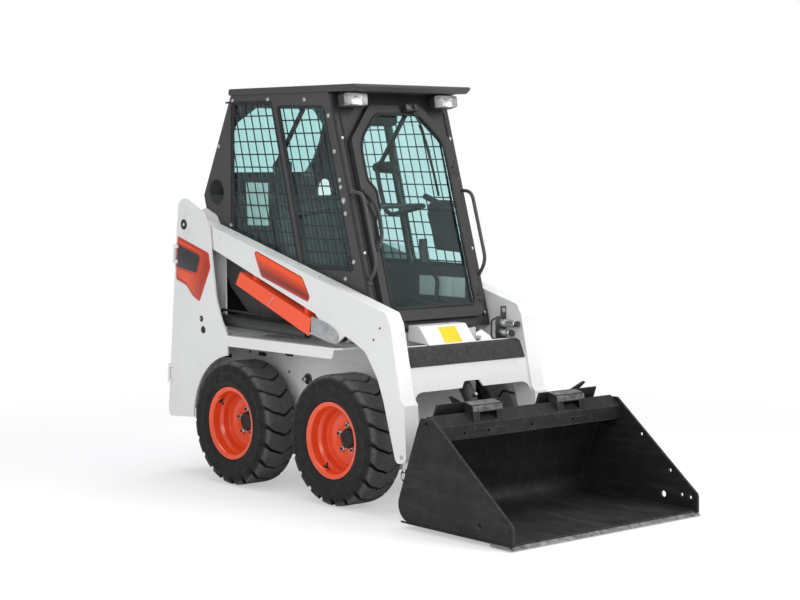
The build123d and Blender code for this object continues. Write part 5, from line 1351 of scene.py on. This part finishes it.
class LoaderColours(bpy.types.PropertyGroup):
    """Colours of the machine."""

    body_white: bpy.props.FloatVectorProperty(
        name="Body white", description="Paint of arms, side frames and tail", subtype="COLOR", size=3,
        min=0, max=1, default=(0.80, 0.80, 0.79))
    cab_charcoal: bpy.props.FloatVectorProperty(
        name="Cab charcoal", description="Textured paint of the cab", subtype="COLOR", size=3,
        min=0, max=1, default=(0.058, 0.0565, 0.0585))
    accent_orange: bpy.props.FloatVectorProperty(
        name="Accent orange", description="Paint of the rims and the arm strut", subtype="COLOR", size=3,
        min=0, max=1, default=(0.83, 0.075, 0.012))
    glass_tint: bpy.props.FloatVectorProperty(
        name="Glass tint", description="Tint of the cab's panes", subtype="COLOR", size=3,
        min=0, max=1, default=(0.652, 0.872, 0.863))


class LoaderTyres(bpy.types.PropertyGroup):
    """Sizes of the tyres' tread."""

    lug_count: bpy.props.IntProperty(
        name="Lugs a side", description="Lugs round one side of a tyre", min=12, max=30, default=20)
    lug_share: bpy.props.FloatProperty(
        name="Lug share", description="Part of the round that lugs take up", min=0.3, max=0.8,
        default=0.69, subtype="FACTOR")


class LoaderStage(bpy.types.PropertyGroup):
    """Light of the stage."""

    sky: bpy.props.FloatProperty(
        name="Sky", description="Strength of the surrounding light", min=0, max=2, default=0.5)
    key_power: bpy.props.FloatProperty(
        name="Key lamp", description="Power of the main soft lamp", min=0, max=3000, default=232,
        subtype="POWER", unit="POWER")
    fill_power: bpy.props.FloatProperty(
        name="Fill lamp", description="Power of the front lamp", min=0, max=3000, default=62,
        subtype="POWER", unit="POWER")
    side_power: bpy.props.FloatProperty(
        name="Side lamp", description="Power of the low lamp at the side", min=0, max=3000, default=14,
        subtype="POWER", unit="POWER")
    top_power: bpy.props.FloatProperty(
        name="Top lamp", description="Power of the overhead lamp", min=0, max=3000, default=230,
        subtype="POWER", unit="POWER")
    floor_glow: bpy.props.FloatProperty(
        name="Floor glow", description="Part of the floor that shows as plain white", min=0, max=1,
        default=0.45, subtype="FACTOR")


class LOADER_OT_stage(bpy.types.Operator):
    """Floor, lamps and camera"""

    bl_idname = "loader.stage"
    bl_label = "Stage"

    def execute(self, context):
        make_stage(context.scene.loader_stage)
        return {"FINISHED"}


class LOADER_OT_finishes(bpy.types.Operator):
    """Materials, and what of the solids shows as it is"""

    bl_idname = "loader.finishes"
    bl_label = "Finishes"

    def execute(self, context):
        make_finishes(context.scene.loader_colours)
        for name, node in frame["nodes"].items():
            finish = OWN_FINISHES.get(name, NODE_FINISHES[slot_of(name)])
            for place in node.material_slots:
                place.material = bpy.data.materials[finish]
            if "glass" in name:
                node.visible_shadow = False
        return {"FINISHED"}


class LOADER_OT_plates(bpy.types.Operator):
    """Plate work with eased edges"""

    bl_idname = "loader.plates"
    bl_label = "Plate work"

    def execute(self, context):
        for node, width in EASED_NODES.items():
            ease_node(node, width)
        return {"FINISHED"}


class LOADER_OT_wheels(bpy.types.Operator):
    """Tyres, rims, hubs and nuts"""

    bl_idname = "loader.wheels"
    bl_label = "Wheels"

    def execute(self, context):
        for end, y in WHEEL_PLACES:
            for word, side in SIDES:
                tag = f"{end}_{word}"
                body = "wheel_" + tag
                make_tyre("tread_" + tag, side, y, body, "tyre_" + tag, context.scene.loader_tyres)
                make_rim("rim_shape_" + tag, side, y, body, "rim_" + tag)
                make_hub("hub_shape_" + tag, side, y, body, "wheel_hub_" + tag)
                make_valve("valve_" + tag, side, y, body, VALVE_TURN[end])
        return {"FINISHED"}


class LOADER_OT_cab(bpy.types.Operator):
    """Bolts, seals, handles, lamps, door fittings, seat bar and linings"""

    bl_idname = "loader.cab"
    bl_label = "Cab"

    def execute(self, context):
        make_cab_bolts()
        make_cab_seals()
        make_screens()
        make_handles()
        make_seat_bar()
        make_door_fittings()
        make_work_lights()
        make_cab_inside()
        return {"FINISHED"}


class LOADER_OT_seat(bpy.types.Operator):
    """Foam cushion and backrest"""

    bl_idname = "loader.seat"
    bl_label = "Seat"

    def execute(self, context):
        make_seat()
        return {"FINISHED"}


class LOADER_OT_hydraulics(bpy.types.Operator):
    """Cylinders, pins and couplings"""

    bl_idname = "loader.hydraulics"
    bl_label = "Hydraulics"

    def execute(self, context):
        make_cylinders()
        make_pins()
        make_couplings()
        return {"FINISHED"}


class LOADER_OT_trim(bpy.types.Operator):
    """Frame fittings, bare labels and welds"""

    bl_idname = "loader.trim"
    bl_label = "Trim"

    def execute(self, context):
        make_frame_fittings()
        make_labels()
        make_welds()
        return {"FINISHED"}


class LOADER_PT_panel(bpy.types.Panel):
    """Sizes, colours and makers of the pieces"""

    bl_label = "Loader"
    bl_idname = "LOADER_PT_panel"
    bl_space_type = "VIEW_3D"
    bl_region_type = "UI"
    bl_category = "Loader"

    def draw(self, context):
        scene = context.scene
        for group in (scene.loader_colours, scene.loader_tyres, scene.loader_stage):
            for key in group.__annotations__:
                self.layout.prop(group, key)
        for operator in OPERATORS:
            self.layout.operator(operator.bl_idname)


GROUPS = (("loader_colours", LoaderColours), ("loader_tyres", LoaderTyres), ("loader_stage", LoaderStage))
OPERATORS = (LOADER_OT_finishes, LOADER_OT_stage, LOADER_OT_plates, LOADER_OT_wheels, LOADER_OT_cab,
             LOADER_OT_seat, LOADER_OT_hydraulics, LOADER_OT_trim)


def register():
    """Register the classes and hang the settings on the scene."""
    for name, group in GROUPS:
        bpy.utils.register_class(group)
        setattr(bpy.types.Scene, name, bpy.props.PointerProperty(type=group))
    for cls in (*OPERATORS, LOADER_PT_panel):
        bpy.utils.register_class(cls)


def unregister():
    """Take the classes and settings away again."""
    for cls in (LOADER_PT_panel, *reversed(OPERATORS)):
        bpy.utils.unregister_class(cls)
    for name, group in reversed(GROUPS):
        delattr(bpy.types.Scene, name)
        bpy.utils.unregister_class(group)


def main():
    """Build every piece."""
    register()
    for operator in OPERATORS:
        group, name = operator.bl_idname.split(".")
        getattr(getattr(bpy.ops, group), name)()


if __name__ == "__main__":
    main()
